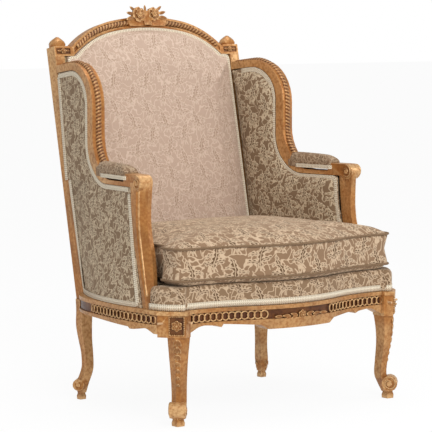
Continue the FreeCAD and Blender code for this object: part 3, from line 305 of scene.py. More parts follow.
bare = bpy.data.materials.new("bare_beech")
bare.use_nodes = True
tree = bare.node_tree
where = tree.nodes.new("ShaderNodeTexCoord")
stretch = tree.nodes.new("ShaderNodeMapping")
stretch.inputs["Scale"].default_value = (8, 120, 120)
tree.links.new(where.outputs["Object"], stretch.inputs["Vector"])
grain = mottled(tree, stretch.outputs[0], 1.0, 6)
surface = tree.nodes["Principled BSDF"]
sawn = mixed(tree, grain, paint(176, 136, 96), paint(214, 178, 136))
tree.links.new(sawn, surface.inputs["Base Color"])
surface.inputs["Roughness"].default_value = 0.7
for node in (
    "corner_blocks", "joint_pegs", "rear_seat_rail", "back_lower_rail",
    "arm_back_rail_right", "arm_back_rail_left",
):
    nodes[node].data.materials.clear()
    nodes[node].data.materials.append(bare)


# The wing's front edge: a rope carved along it, from the back upright over the wing's top
# and down its front to the arm. The rope lies on the round of the wing timber.

PIVOT = Vector((0.316, 0.306, 0))
TOE_OUT = Matrix.Rotation(math.radians(7.07), 4, "Z")
SWING = Matrix.Translation(PIVOT) @ TOE_OUT @ Matrix.Translation(-PIVOT)
MIRROR = Matrix.Diagonal((-1, 1, 1, 1))


def rounded_line(corners, pitch, closed=False):
    """Evenly spaced points along straight runs with rounded corners. A corner is ((x, y, z), radius)."""
    line = []
    count = len(corners)
    for i, (corner, radius) in enumerate(corners):
        corner = Vector(corner)
        if radius <= 0 or (not closed and i in (0, count - 1)):
            line.append(corner)
            continue
        before = (Vector(corners[i - 1][0]) - corner).normalized()
        after = (Vector(corners[(i + 1) % count][0]) - corner).normalized()
        half_turn = (math.pi - before.angle(after)) / 2
        reach = radius * math.tan(half_turn)
        centre = corner + (before + after).normalized() * (radius / math.cos(half_turn))
        start = corner + before * reach - centre
        end = corner + after * reach - centre
        steps = max(2, int(2 * half_turn * radius / pitch))
        for k in range(steps + 1):
            line.append(centre + start.slerp(end, k / steps).normalized() * radius)
    if closed:
        line.append(line[0].copy())
    lengths = [0.0]
    for a, b in zip(line, line[1:]):
        lengths.append(lengths[-1] + (b - a).length)
    steps = max(2, round(lengths[-1] / pitch))
    spaced = []
    k = 0
    for step in range(steps + 1):
        goal = lengths[-1] * step / steps
        while k < len(line) - 2 and lengths[k + 1] < goal:
            k += 1
        span = max(lengths[k + 1] - lengths[k], 1e-12)
        spaced.append(line[k].lerp(line[k + 1], min(1.0, (goal - lengths[k]) / span)))
    return spaced[:-1] if closed else spaced


def headings(points, closed=False):
    """The direction of travel at each point of a line."""
    count = len(points)
    found = []
    for i in range(count):
        if closed:
            step = points[(i + 1) % count] - points[i - 1]
        else:
            step = points[min(i + 1, count - 1)] - points[max(i - 1, 0)]
        found.append(step.normalized())
    return found


def drawn_out(stations, ring_closed=True, path_closed=False, capped=True, hollows=None):
    """A skin drawn from the first ring of points through all the others.
    Its map runs along, then across, in metres."""
    bm = bmesh.new()
    # This attribute holds painted shade for the grooves of carving
    painted_recess_shade = bm.verts.layers.float.new("painted_recess_shade")
    along = bm.verts.layers.float.new("along")
    across = bm.verts.layers.float.new("across")
    ring = [bm.verts.new(point) for point in stations[0]]
    pairs = list(zip(range(len(ring)), range(1, len(ring))))
    if ring_closed:
        pairs.append((len(ring) - 1, 0))
    for a, b in pairs:
        bm.edges.new((ring[a], ring[b]))
    widths = [0.0]
    for a, b in zip(stations[0], stations[0][1:]):
        widths.append(widths[-1] + (b - a).length)
    for k, (vert, width) in enumerate(zip(ring, widths)):
        vert[across] = width
        vert[painted_recess_shade] = hollows[0][k] if hollows else 0.0
    first = ring
    travelled = 0.0
    for number, points in enumerate(stations[1:], start=1):
        edges = [bm.edges.get((ring[a], ring[b])) for a, b in pairs]
        drawn = bmesh.ops.extrude_edge_only(bm, edges=edges)["geom"]
        order = {vert: k for k, vert in enumerate(ring)}
        fresh = [None] * len(ring)
        for vert in (item for item in drawn if isinstance(item, bmesh.types.BMVert)):
            for edge in vert.link_edges:
                other = edge.other_vert(vert)
                if other in order:
                    fresh[order[other]] = vert
        middle = sum(points, Vector()) / len(points)
        last_middle = sum(stations[number - 1], Vector()) / len(points)
        travelled += (middle - last_middle).length
        for k, (vert, point, width) in enumerate(zip(fresh, points, widths)):
            vert.co = point
            vert[along] = travelled
            vert[across] = width
            vert[painted_recess_shade] = hollows[number][k] if hollows else 0.0
        ring = fresh
    if path_closed:
        edges = [bm.edges.get((loop[a], loop[b])) for loop in (first, ring) for a, b in pairs]
        bmesh.ops.bridge_loops(bm, edges=edges)
    elif capped and ring_closed:
        bm.faces.new(first)
        bm.faces.new(ring)
    bmesh.ops.recalc_face_normals(bm, faces=bm.faces)
    cloth_map = bm.loops.layers.uv.new("run")
    girth = widths[-1] + (stations[0][0] - stations[0][-1]).length if ring_closed else 1e9
    for face in bm.faces:
        ends = [loop.vert[along] for loop in face.loops]
        rims = [loop.vert[across] for loop in face.loops]
        for loop in face.loops:
            u, v = loop.vert[along], loop.vert[across]
            if max(ends) - min(ends) > travelled * 0.5 and u < travelled * 0.5:
                u += travelled * len(stations) / (len(stations) - 1)
            if ring_closed and max(rims) - min(rims) > girth * 0.5 and v < girth * 0.5:
                v += girth
            loop[cloth_map].uv = (u, v)
    return bm


def moved(bm, *matrices):
    """A mesh carried by one matrix after another, with its faces kept outwards."""
    for matrix in matrices:
        bmesh.ops.transform(bm, matrix=matrix, verts=bm.verts)
        if matrix.determinant() < 0:
            bmesh.ops.reverse_faces(bm, faces=bm.faces)
    return bm


def both_sides(name, build, material, slot, **kind):
    """A right piece and its partner on the left."""
    pieces = []
    for side, matrices in (("right", ()), ("left", (MIRROR,))):
        pieces.append(made(f"{name}_{side}", moved(build(), *matrices), material, slot, **kind))
    return pieces


WING_FRONT = 0.0955
WING_MIDDLE = 0.316 - 0.0185


def wing_edge(inset):
    """The wing's front and upper edge in the side's own plane, from the upright to the arm."""
    front = WING_FRONT + inset
    return [
        ((0, 0.306, 0.901 - inset), 0),
        ((0, front, 0.925 - 1.12 * inset), 0.12 - inset),
        ((0, front, 0.672 - 0.435 * inset), 0.11 + inset),
        ((0, 0.029 + 0.394 * inset, 0.610 - inset), 0),
    ]


def rope(points, flat, thickness, depth, strand, sides=20):
    """A carved rope round a line that lies in a plane: strands that wind about it."""
    stations = []
    hollows = []
    ways = headings(points)
    travelled = 0.0
    for i, (point, way) in enumerate(zip(points, ways)):
        if i:
            travelled += (point - points[i - 1]).length
        side_way = way.cross(flat).normalized()
        ring = []
        groove_shade = []
        for k in range(sides):
            turn = 2 * math.pi * k / sides
            wave = abs(math.sin(turn - travelled * math.pi / strand))
            reach = thickness - depth + depth * wave ** 0.7
            ring.append(point + side_way * (math.cos(turn) * reach) + flat * (math.sin(turn) * reach))
            # Painted shade in the grooves between the strands, carried as the mesh's attribute
            groove_shade.append(max(0.0, 1 - 1.6 * wave))
        stations.append(ring)
        hollows.append(groove_shade)
    return drawn_out(stations, hollows=hollows)


def wing_rope():
    corners = [((WING_MIDDLE, y, z), r) for (_, y, z), r in wing_edge(0.008)[:3]]
    corners.append(((WING_MIDDLE, 0.052, 0.630), 0))
    points = rounded_line(corners, 0.0016)
    return moved(rope(points[4:], Vector((1, 0, 0)), 0.0102, 0.0022, 0.0095), SWING)


both_sides("wing_rope", wing_rope, toned_gold, "giltwood", sharp=180)


# Damask: a cut velvet with scrolling leaves of taupe pile on a paler woven ground. The figure is
# woven in a half-dropped repeat, larger on the seat, and paler and fainter on the inside back as painted
# sheen.

BACK = Matrix.Translation((0, 0.184, 0.298)) @ Matrix.Rotation(math.radians(-11.6), 4, "X")
BACK_HOME = BACK.inverted()


def up_slope(height):
    """How far up the raked back a height above the floor is."""
    return (height - 0.298) / math.cos(math.radians(11.6))


leafage = bpy.data.node_groups.new("scrolling_leafage", "ShaderNodeTree")
leafage.interface.new_socket(name="Cloth", in_out="INPUT", socket_type="NodeSocketVector")
leafage.interface.new_socket(name="Pile", in_out="OUTPUT", socket_type="NodeSocketFloat")
leafage.interface.new_socket(name="Outline", in_out="OUTPUT", socket_type="NodeSocketFloat")
way_in = leafage.nodes.new("NodeGroupInput")
way_out = leafage.nodes.new("NodeGroupOutput")
wobble = leafage.nodes.new("ShaderNodeTexNoise")
wobble.inputs["Scale"].default_value = 30
wobble.inputs["Detail"].default_value = 2
leafage.links.new(way_in.outputs["Cloth"], wobble.inputs["Vector"])
shift = leafage.nodes.new("ShaderNodeVectorMath")
shift.operation = "SCALE"
centred = leafage.nodes.new("ShaderNodeVectorMath")
centred.operation = "SUBTRACT"
centred.inputs[1].default_value = (0.5, 0.5, 0.5)
leafage.links.new(wobble.outputs["Color"], centred.inputs[0])
leafage.links.new(centred.outputs[0], shift.inputs[0])
shift.inputs["Scale"].default_value = 0.014
wandering = leafage.nodes.new("ShaderNodeVectorMath")
wandering.operation = "ADD"
leafage.links.new(way_in.outputs["Cloth"], wandering.inputs[0])
leafage.links.new(shift.outputs[0], wandering.inputs[1])
split = leafage.nodes.new("ShaderNodeSeparateXYZ")
leafage.links.new(wandering.outputs[0], split.inputs[0])


def cell_of(tree, across, up, width, height, offset):
    """Where a point lies in its cell of a half-dropped repeat, in cell heights.
    The cells are mirrored from row to row."""
    u = sum_of(tree, "ADD", sum_of(tree, "DIVIDE", across, width), offset[0])
    column = sum_of(tree, "FLOOR", u)
    odd = sum_of(tree, "FLOORED_MODULO", column, 2.0)
    v = sum_of(tree, "ADD", sum_of(tree, "DIVIDE", up, height), offset[1])
    v = sum_of(tree, "ADD", v, sum_of(tree, "MULTIPLY", odd, 0.5))
    row = sum_of(tree, "FLOOR", v)
    parity = sum_of(tree, "FLOORED_MODULO", sum_of(tree, "ADD", row, odd), 2.0)
    flip = sum_of(tree, "MULTIPLY_ADD", parity, 2.0, -1.0)
    p = sum_of(tree, "MULTIPLY", sum_of(tree, "SUBTRACT", sum_of(tree, "FRACT", u), 0.5), width / height)
    q = sum_of(tree, "SUBTRACT", sum_of(tree, "FRACT", v), 0.5)
    return sum_of(tree, "MULTIPLY", p, flip), q


def leaf(tree, p, q, foot, turn, bend, length, breadth, teeth):
    """A toothed leaf that grows from its foot: positive inside, and the distance from its midrib."""
    away_x = sum_of(tree, "SUBTRACT", p, foot[0])
    away_y = sum_of(tree, "SUBTRACT", q, foot[1])
    cosine, sine = math.cos(turn), math.sin(turn)
    along = sum_of(tree, "MULTIPLY_ADD", away_y, cosine, sum_of(tree, "MULTIPLY", away_x, -sine))
    aside = sum_of(tree, "MULTIPLY_ADD", away_x, cosine, sum_of(tree, "MULTIPLY", away_y, sine))
    drift = sum_of(tree, "MULTIPLY", sum_of(tree, "MULTIPLY", along, along), bend)
    bent = sum_of(tree, "SUBTRACT", aside, drift)
    share = sum_of(tree, "DIVIDE", along, length)
    oval = sum_of(tree, "MULTIPLY", share, sum_of(tree, "SUBTRACT", 1.0, share))
    belly = sum_of(tree, "SQRT", sum_of(tree, "MAXIMUM", oval, 0.0))
    edge = sum_of(tree, "MULTIPLY", belly, 2 * breadth)
    wave = sum_of(tree, "COSINE", sum_of(tree, "MULTIPLY", along, teeth))
    edge = sum_of(tree, "MULTIPLY", edge, sum_of(tree, "MULTIPLY_ADD", wave, 0.24, 0.82))
    rib = sum_of(tree, "ABSOLUTE", bent)
    return sum_of(tree, "SUBTRACT", edge, rib), rib


p, q = cell_of(leafage, split.outputs["X"], split.outputs["Y"], 0.050, 0.068, (0.5, 0.5))
leaves = []
ribs = []
for foot, turn, bend, length, breadth, teeth in (
    ((0.02, -0.42), 0.15, 0.5, 0.80, 0.115, 52.0),
    ((0.0, -0.30), 0.95, -1.4, 0.46, 0.085, 58.0),
    ((0.02, -0.22), -0.85, 1.5, 0.46, 0.085, 58.0),
    ((0.0, 0.02), 1.25, -1.8, 0.36, 0.07, 60.0),
    ((0.06, 0.10), -1.05, 1.8, 0.32, 0.065, 60.0),
):
    body, rib = leaf(leafage, p, q, foot, turn, bend, length, breadth, teeth)
    leaves.append(body)
    near_rib = ramp_of(leafage, rib, 0.022, 0.008)
    ribs.append(sum_of(leafage, "MULTIPLY", near_rib, ramp_of(leafage, body, 0.0, 0.03)))
inside = leaves[0]
vein = ribs[0]
for body, rib in zip(leaves[1:], ribs[1:]):
    inside = sum_of(leafage, "MAXIMUM", inside, body)
    vein = sum_of(leafage, "MAXIMUM", vein, rib)
leafage.links.new(ramp_of(leafage, inside, -0.012, 0.012), way_out.inputs["Pile"])
rim = ramp_of(leafage, sum_of(leafage, "ABSOLUTE", inside), 0.036, 0.012)
tendril_bed = mottled(leafage, wandering.outputs[0], 44, 1.2, 0.45)
off_line = sum_of(leafage, "ABSOLUTE", sum_of(leafage, "SUBTRACT", tendril_bed, 0.5))
tendril = ramp_of(leafage, off_line, 0.034, 0.012)
tendril = sum_of(leafage, "MULTIPLY", tendril, ramp_of(leafage, inside, 0.0, -0.03))
lines = sum_of(leafage, "MAXIMUM", sum_of(leafage, "MAXIMUM", rim, vein), tendril)
leafage.links.new(lines, way_out.inputs["Outline"])


def damask(name, pile, ground, line, contrast, repeat=1.0, sheen=0.35):
    """Figured velvet in three colours. Contrast is how strongly the figure shows."""
    material = bpy.data.materials.new(name)
    material.use_nodes = True
    tree = material.node_tree
    shader = tree.nodes["Principled BSDF"]
    where = tree.nodes.new("ShaderNodeTexCoord")
    cloth = tree.nodes.new("ShaderNodeGroup")
    cloth.node_tree = leafage
    scaled = tree.nodes.new("ShaderNodeVectorMath")
    scaled.operation = "SCALE"
    scaled.inputs["Scale"].default_value = 1 / repeat
    tree.links.new(where.outputs["UV"], scaled.inputs[0])
    tree.links.new(scaled.outputs[0], cloth.inputs["Cloth"])
    nap = mottled(tree, where.outputs["Object"], 900, 2)
    # Painted sheen: broad patches of the pile are lightened towards the ground colour
    painted_sheen_patches = mottled(tree, where.outputs["Object"], 22, 5, 0.65)
    pile_colour = mixed(tree, ramp_of(tree, painted_sheen_patches, 0.35, 0.68), pile, mixed(tree, 0.28, pile, ground))
    base = mixed(tree, sum_of(tree, "MULTIPLY", cloth.outputs["Pile"], contrast), ground, pile_colour)
    lined = mixed(tree, sum_of(tree, "MULTIPLY", cloth.outputs["Outline"], contrast * 0.8), base, line)
    shadowed = mixed(tree, 0.5, lined, paint(70, 52, 38))
    shade = mixed(tree, ramp_of(tree, nap, 0.3, 0.7, 0.0, 0.22), lined, shadowed)
    tree.links.new(shade, shader.inputs["Base Color"])
    shader.inputs["Roughness"].default_value = 0.86
    shader.inputs["Sheen Weight"].default_value = sheen
    shader.inputs["Sheen Roughness"].default_value = 0.4
    shader.inputs["Sheen Tint"].default_value = paint(240, 222, 200)
    shader.inputs["Specular IOR Level"].default_value = 0.2
    bump = tree.nodes.new("ShaderNodeBump")
    bump.inputs["Strength"].default_value = 0.5
    bump.inputs["Distance"].default_value = 0.0016
    tree.links.new(
        sum_of(tree, "ADD", cloth.outputs["Pile"], sum_of(tree, "MULTIPLY", nap, 0.4)), bump.inputs["Height"]
    )
    tree.links.new(bump.outputs[0], shader.inputs["Normal"])
    return material


side_velvet = damask("side_velvet", paint(104, 82, 60), paint(128, 104, 80), paint(214, 194, 164), 1.0)
# The inside back's velvet is a paler, lower-contrast copy of the same damask: painted sheen
sheen_pale_back_velvet = damask(
    "sheen_pale_back_velvet", paint(162, 136, 116), paint(186, 161, 143), paint(212, 189, 171), 0.9, repeat=1.1
)
cushion_velvet = damask(
    "cushion_velvet", paint(94, 70, 46), paint(140, 112, 86), paint(212, 186, 156), 1.0, repeat=1.25
)
apron_velvet = damask(
    "apron_velvet", paint(92, 68, 46), paint(134, 108, 82), paint(206, 180, 150), 1.0, repeat=1.15
)
arm_velvet = damask("arm_velvet", paint(96, 74, 52), paint(126, 100, 76), paint(182, 158, 130), 0.9)


# Stuffed pieces: hair and wadding under the velvet. Each starts from its CAD solid, is
# filled by a short cloth simulation, and keeps its tacked edges where they are.


def box_cut(bm, home=None):
    """Lays the cloth's map on a piece from the side each face looks to, in metres."""
    cloth_map = bm.loops.layers.uv.new("cloth")
    for face in bm.faces:
        normal = face.normal.copy()
        if home is not None:
            normal = home.to_3x3() @ normal
        size = [abs(c) for c in normal]
        for loop in face.loops:
            place = home @ loop.vert.co if home is not None else loop.vert.co
            if size[2] >= size[0] and size[2] >= size[1]:
                loop[cloth_map].uv = (place.x, place.y)
            elif size[1] >= size[0]:
                loop[cloth_map].uv = (place.x, place.z)
            else:
                loop[cloth_map].uv = (place.y, place.z)
    return bm


def stuffed(name, node, material, slot, voxel, hold, cap, home=None, body="chair", pressure=4.0):
    """A stuffed piece. Hold gives 1 where the cloth is tacked, and cap is the most that it may swell."""
    source = bpy.data.objects.new(name + "_start", bpy.data.meshes.new(name + "_start"))
    welded_copy = welded(node)
    welded_copy.to_mesh(source.data)
    welded_copy.free()
    bpy.context.collection.objects.link(source)
    remesh = source.modifiers.new("even", "REMESH")
    remesh.mode = "VOXEL"
    remesh.voxel_size = voxel
    graph = bpy.context.evaluated_depsgraph_get()
    even = bpy.data.meshes.new_from_object(source.evaluated_get(graph), depsgraph=graph)
    source.modifiers.clear()
    source.data = even
    rest = [vert.co.copy() for vert in even.vertices]
    holds = [hold(BACK_HOME @ co if home is BACK_HOME else co) for co in rest]
    tacked = source.vertex_groups.new(name="tacked")
    for index, weight in enumerate(holds):
        tacked.add([index], weight, "REPLACE")
    cloth = source.modifiers.new("filling", "CLOTH")
    cloth.settings.vertex_group_mass = "tacked"
    cloth.settings.pin_stiffness = 5
    cloth.settings.quality = 4
    cloth.settings.tension_stiffness = 12
    cloth.settings.compression_stiffness = 12
    cloth.settings.use_pressure = True
    cloth.settings.uniform_pressure_force = pressure
    cloth.settings.effector_weights.gravity = 0
    cloth.collision_settings.use_collision = False
    cloth.point_cache.frame_start = 1
    cloth.point_cache.frame_end = 20
    for number in range(1, 21):
        bpy.context.scene.frame_set(number)
    graph = bpy.context.evaluated_depsgraph_get()
    blown = source.evaluated_get(graph).data
    swollen = [vert.co.copy() for vert in blown.vertices]
    source.modifiers.clear()
    bpy.context.scene.frame_set(1)
    bm = bmesh.new()
    bm.from_mesh(even)
    for vert, start, full, weight in zip(bm.verts, rest, swollen, holds):
        step = full - start
        room = cap * (1 - weight)
        if step.length > room:
            step = step.normalized() * room
        vert.co = start + step
    for _ in range(2):
        bmesh.ops.smooth_vert(
            bm, verts=bm.verts, factor=0.5, use_axis_x=True, use_axis_y=True, use_axis_z=True
        )
    bm.normal_update()
    box_cut(bm, home)
    bpy.data.objects.remove(source)
    piece = made(name, bm, material, slot, body=body, sharp=180)
    fine = piece.modifiers.new("fine", "SUBSURF")
    fine.levels = 1
    fine.render_levels = 1
    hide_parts(node)
    return piece


def soft_edge(distance, width):
    """1 at an edge, falling to 0 at a width away from it."""
    share = min(1.0, max(0.0, distance / width))
    return 1 - share * share * (3 - 2 * share)


def back_hold(local):
    """The back pad is tacked all round, behind its braid."""
    if local.y > -0.004:
        return 1.0
    return soft_edge(-0.004 - local.y, 0.02)


stuffed("stuffed_back", "inside_back_pad", sheen_pale_back_velvet, "damask_back", 0.005, back_hold, 0.006, home=BACK_HOME)


def side_hold_right(co):
    local = SWING.inverted() @ co
    depth = 0.316 - local.x
    return soft_edge(depth - 0.038, 0.008)


def side_hold_left(co):
    return side_hold_right(Vector((-co.x, co.y, co.z)))


for side, hold in (("right", side_hold_right), ("left", side_hold_left)):
    stuffed(
        "stuffed_side_" + side, "inside_side_pad_" + side, side_velvet, "damask_velvet", 0.005, hold, 0.006
    )


def arm_hold(co):
    return soft_edge(co.z - 0.612, 0.012)


for side in ("right", "left"):
    stuffed("stuffed_arm_" + side, "arm_pad_" + side, arm_velvet, "damask_velvet", 0.0035, arm_hold, 0.004)


def platform_hold(co):
    return 1.0 if co.z < 0.335 else soft_edge(co.z - 0.335, 0.02)


stuffed("stuffed_platform", "seat_platform", apron_velvet, "damask_velvet", 0.005, platform_hold, 0.0)


def cushion_hold(co):
    """The cushion's seams stay where they are sewn; its underside lies on the platform."""
    seam = min(abs(co.z - 0.366), abs(co.z - 0.447))
    return max(soft_edge(seam, 0.008), 1.0 if co.z < 0.362 else 0.0)


stuffed(
    "seat_cushion_filled", "seat_cushion", cushion_velvet, "damask_cushion", 0.006, cushion_hold, 0.014,
    body="cushion", pressure=5.0,
)


# Tight cloth: velvet on the outside of the back and sides, jute webbing and hessian under the
# stuffing, and black cotton under the seat. Each is stretched and tacked to the frame.


def plain_cloth(name, first, second, weave_scale=500):
    """A plain woven cloth in two close colours."""
    material = bpy.data.materials.new(name)
    material.use_nodes = True
    tree = material.node_tree
    where = tree.nodes.new("ShaderNodeTexCoord")
    thread = tree.nodes.new("ShaderNodeTexWave")
    thread.inputs["Scale"].default_value = weave_scale
    thread.inputs["Distortion"].default_value = 1.5
    tree.links.new(where.outputs["Object"], thread.inputs["Vector"])
    surface = tree.nodes["Principled BSDF"]
    tree.links.new(mixed(tree, thread.outputs["Fac"], first, second), surface.inputs["Base Color"])
    surface.inputs["Roughness"].default_value = 0.9
    return material


jute = plain_cloth("jute", paint(150, 122, 80), paint(186, 158, 112), 300)
hessian = plain_cloth("hessian", paint(160, 136, 98), paint(190, 166, 126))
black_cloth = plain_cloth("black_cloth", paint(36, 34, 32), paint(52, 48, 46))


def tight(node, material, slot, home=None):
    """A sheet of cloth stretched and tacked where its CAD solid is."""
    piece = made("cloth_" + node, box_cut(welded(node), home), material, slot, sharp=30)
    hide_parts(node)
    return piece


for side in ("right", "left"):
    tight("outside_side_panel_" + side, side_velvet, "damask_velvet")
tight("outside_back_panel", side_velvet, "damask_velvet", BACK_HOME)
tight("back_hessian", hessian, "hessian")
tight("back_webbing", jute, "jute_webbing")
tight("seat_hessian", hessian, "hessian")
tight("bottom_cloth", black_cloth, "bottom_cloth")
tight("seat_webbing_lengthwise", jute, "jute_webbing")
tight("seat_webbing_crosswise", jute, "jute_webbing")


# Braid: a cream gimp, woven with two corded rims and a looped middle. It is glued over every
# tacked edge of the velvet.

gimp_cream = bpy.data.materials.new("cream_gimp")
gimp_cream.use_nodes = True
tree = gimp_cream.node_tree
where = tree.nodes.new("ShaderNodeTexCoord")
run = tree.nodes.new("ShaderNodeSeparateXYZ")
tree.links.new(where.outputs["UV"], run.inputs[0])
loop_turn = sum_of(tree, "MULTIPLY", run.outputs["X"], 1150.0)
lean_turn = sum_of(tree, "ADD", loop_turn, sum_of(tree, "MULTIPLY", run.outputs["Y"], 900.0))
loops = sum_of(tree, "SINE", loop_turn)
lean = sum_of(tree, "SINE", lean_turn)
figure = sum_of(tree, "MULTIPLY", sum_of(tree, "ADD", loops, lean), 0.5)
shade = ramp_of(tree, figure, -0.7, 0.3)
thread = mottled(tree, where.outputs["Object"], 1500, 2)
cream = mixed(tree, ramp_of(tree, thread, 0.35, 0.65), paint(224, 210, 184), paint(240, 230, 210))
surface = tree.nodes["Principled BSDF"]
tree.links.new(mixed(tree, shade, paint(188, 168, 138), cream), surface.inputs["Base Color"])
surface.inputs["Roughness"].default_value = 0.8
surface.inputs["Sheen Weight"].default_value = 0.2
bump = tree.nodes.new("ShaderNodeBump")
bump.inputs["Distance"].default_value = 0.0008
tree.links.new(figure, bump.inputs["Height"])
tree.links.new(bump.outputs[0], surface.inputs["Normal"])

GIMP_WIDTH = 0.0125
GIMP_PROFILE = (
    (-0.5, 0.0), (-0.48, 0.7), (-0.42, 1.0), (-0.33, 0.5), (-0.14, 0.65), (0.0, 0.9),
    (0.14, 0.65), (0.33, 0.5), (0.42, 1.0), (0.48, 0.7), (0.5, 0.0),
)


def ribbon(points, lifts, width, thick, closed=False):
    """A length of gimp along a line. Lifts are the directions in which it stands off the work."""
    stations = []
    for point, way, lift in zip(points, headings(points, closed), lifts):
        across_way = way.cross(lift).normalized()
        up = across_way.cross(way).normalized()
        if up.dot(lift) < 0:
            up = -up
        stations.append([
            point + across_way * (share * width) + up * (rise * thick) for share, rise in GIMP_PROFILE
        ])
    return drawn_out(stations, path_closed=closed)


def arch_line(crown, end_x, end_z):
    """The crest's three-centred arch in the back's own plane, from left to right."""
    crown_radius, knee_x = 0.640, 0.118
    top, end = up_slope(crown), up_slope(end_z)
    crown_turn = math.asin(knee_x / crown_radius)
    knee = top - crown_radius * (1 - math.cos(crown_turn))
    chord_turn = math.atan2(knee - end, end_x - knee_x)
    haunch = math.hypot(end_x - knee_x, knee - end) / (2 * math.sin(chord_turn - crown_turn))
    end_turn = 2 * chord_turn - crown_turn
    half = []
    for k in range(17):
        turn = crown_turn * k / 16
        half.append(Vector((crown_radius * math.sin(turn), 0, top - crown_radius * (1 - math.cos(turn)))))
    for k in range(1, 31):
        turn = crown_turn + (end_turn - crown_turn) * k / 30
        x = knee_x + haunch * (math.sin(turn) - math.sin(crown_turn))
        z = knee + haunch * (math.cos(turn) - math.cos(crown_turn))
        half.append(Vector((x, 0, z)))
    return [Vector((-point.x, 0, point.z)) for point in reversed(half[1:])] + half


def back_loop(half_width, low, inset, y):
    """A closed line round the upholstered back, inset from its edge."""
    top_line = arch_line(0.9976 - inset, 0.2537 - inset, 0.9215 - inset)
    side = half_width - inset
    corners = [((point.x, y, point.z), 0) for point in top_line]
    level = top_line[-1].z
    foot = low + inset
    corners += [((side, y, level), 0.006), ((side, y, foot), 0.004)]
    corners += [((-side, y, foot), 0.004), ((-side, y, level), 0.006)]
    return rounded_line(corners, 0.006, closed=True)


def back_braid(name, half_width, low, y, way, thick):
    """A closed length of braid round one side of the back."""
    line = back_loop(half_width, low, 0.0068, y)
    lifts = [Vector((0, way, 0))] * len(line)
    band = ribbon(line, lifts, GIMP_WIDTH, thick, True)
    return made(name, moved(band, BACK), gimp_cream, "gimp_braid", sharp=180)


inside_back = back_braid("braid_inside_back", 0.2786, up_slope(0.3532), -0.0021, -1, 0.0022)
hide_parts("gimp_inside_back")
outside_back = back_braid("braid_outside_back", 0.2857, 0.024, 0.0361, 1, 0.0014)
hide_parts("gimp_outside_back")


def braid_pair(name, build, replaced):
    """The right and left lengths of a braid, and the CAD nodes that they stand for."""
    pieces = both_sides(name, build, gimp_cream, "gimp_braid", sharp=180)
    for piece, side in zip(pieces, ("right", "left")):
        if replaced:
            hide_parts(f"{replaced}_{side}")


def inside_side_braid():
    """Down from the upright along the wing, under the arm and down behind the arm post."""
    i = 0.0066
    x = 0.316 - 0.0381
    corners = [
        ((x, 0.262, 0.8806 - i), 0), ((x, 0.1284 + i, 0.8966 - i), 0.09 - i),
        ((x, 0.1284 + i, 0.650 - 0.4 * i), 0.105 + i), ((x, 0.058 + 0.4 * i, 0.5936 - i), 0.09 + i),
        ((x, -0.105 + i, 0.5936 - i), 0.006), ((x, -0.111 + i, 0.513), 0.15),
        ((x, -0.126 + i, 0.437), 0.1), ((x, -0.158 + i, 0.360), 0),
    ]
    points = rounded_line(corners, 0.006)
    return moved(ribbon(points, [Vector((-1, 0, 0))] * len(points), GIMP_WIDTH, 0.0022), SWING)


braid_pair("braid_inside_side", inside_side_braid, "gimp_inside_side")

PANEL_ROWS = (
    (0.2922, (0.3135, 0.1822), (0.389, -0.005), (0.3905, -0.186)),
    (0.420, (0.317, 0.208), (0.357, 0.035), (0.3725, -0.136)),
    (0.594, (0.320, 0.2436), (0.3435, 0.069), (0.3645, -0.1055)),
)


def panel_at(share, height):
    """A point of the outside side cloth, and the way it faces.
    Share runs from the rear upright to the arm post."""
    lower, upper = PANEL_ROWS[:2] if height < PANEL_ROWS[1][0] else PANEL_ROWS[1:]
    rise = (height - lower[0]) / (upper[0] - lower[0])
    (ax, ay), (bx, by), (cx, cy) = [
        (p[0] + (q[0] - p[0]) * rise, p[1] + (q[1] - p[1]) * rise) for p, q in zip(lower[1:], upper[1:])
    ]
    d = 2 * (ax * (by - cy) + bx * (cy - ay) + cx * (ay - by))
    squares = [px * px + py * py for px, py in ((ax, ay), (bx, by), (cx, cy))]
    ox = (squares[0] * (by - cy) + squares[1] * (cy - ay) + squares[2] * (ay - by)) / d
    oy = (squares[0] * (cx - bx) + squares[1] * (ax - cx) + squares[2] * (bx - ax)) / d
    start = math.atan2(ay - oy, ax - ox)
    end = math.atan2(cy - oy, cx - ox)
    radius = math.hypot(ax - ox, ay - oy)
    turn = start + (end - start) * share
    facing = Vector((math.cos(turn), math.sin(turn), 0))
    return Vector((ox, oy, height)) + facing * radius, facing


def outside_lower_braid():
    """Up the rear upright, along the seat rail, and up the arm post, on the outside cloth."""
    places = [(0.018, 0.590 - k * 0.03) for k in range(10)] + [(k / 24, 0.2988) for k in range(1, 24)]
    places += [(0.965, 0.306 + k * 0.03) for k in range(10)]
    found = [panel_at(share, height) for share, height in places]
    corners = [(tuple(point + facing * 0.0002), 0.004) for point, facing in found]
    points = rounded_line(corners, 0.006)
    lifts = [min(found, key=lambda pair: (pair[0] - point).length)[1] for point in points]
    return ribbon(points, lifts, GIMP_WIDTH, 0.0022)


def outside_upper_braid():
    """Along the rear upright, the wing and the arm's underside, on the outside cloth."""
    i = 0.0066
    x = 0.316 - 0.0019
    corners = [
        ((x, 0.252, 0.590), 0), ((x, 0.296, 0.868), 0.006), ((x, 0.1284 + i, 0.8966 - i), 0.09 - i),
        ((x, 0.1284 + i, 0.650 - 0.4 * i), 0.105 + i), ((x, 0.058 + 0.4 * i, 0.5936 - i), 0.09 + i),
        ((x, -0.094, 0.5936 - i), 0),
    ]
    points = rounded_line(corners, 0.006)
    return moved(ribbon(points, [Vector((1, 0, 0))] * len(points), GIMP_WIDTH, 0.0022), SWING)


braid_pair("braid_outside_low", outside_lower_braid, "gimp_outside_side")
braid_pair("braid_outside_wing", outside_upper_braid, None)


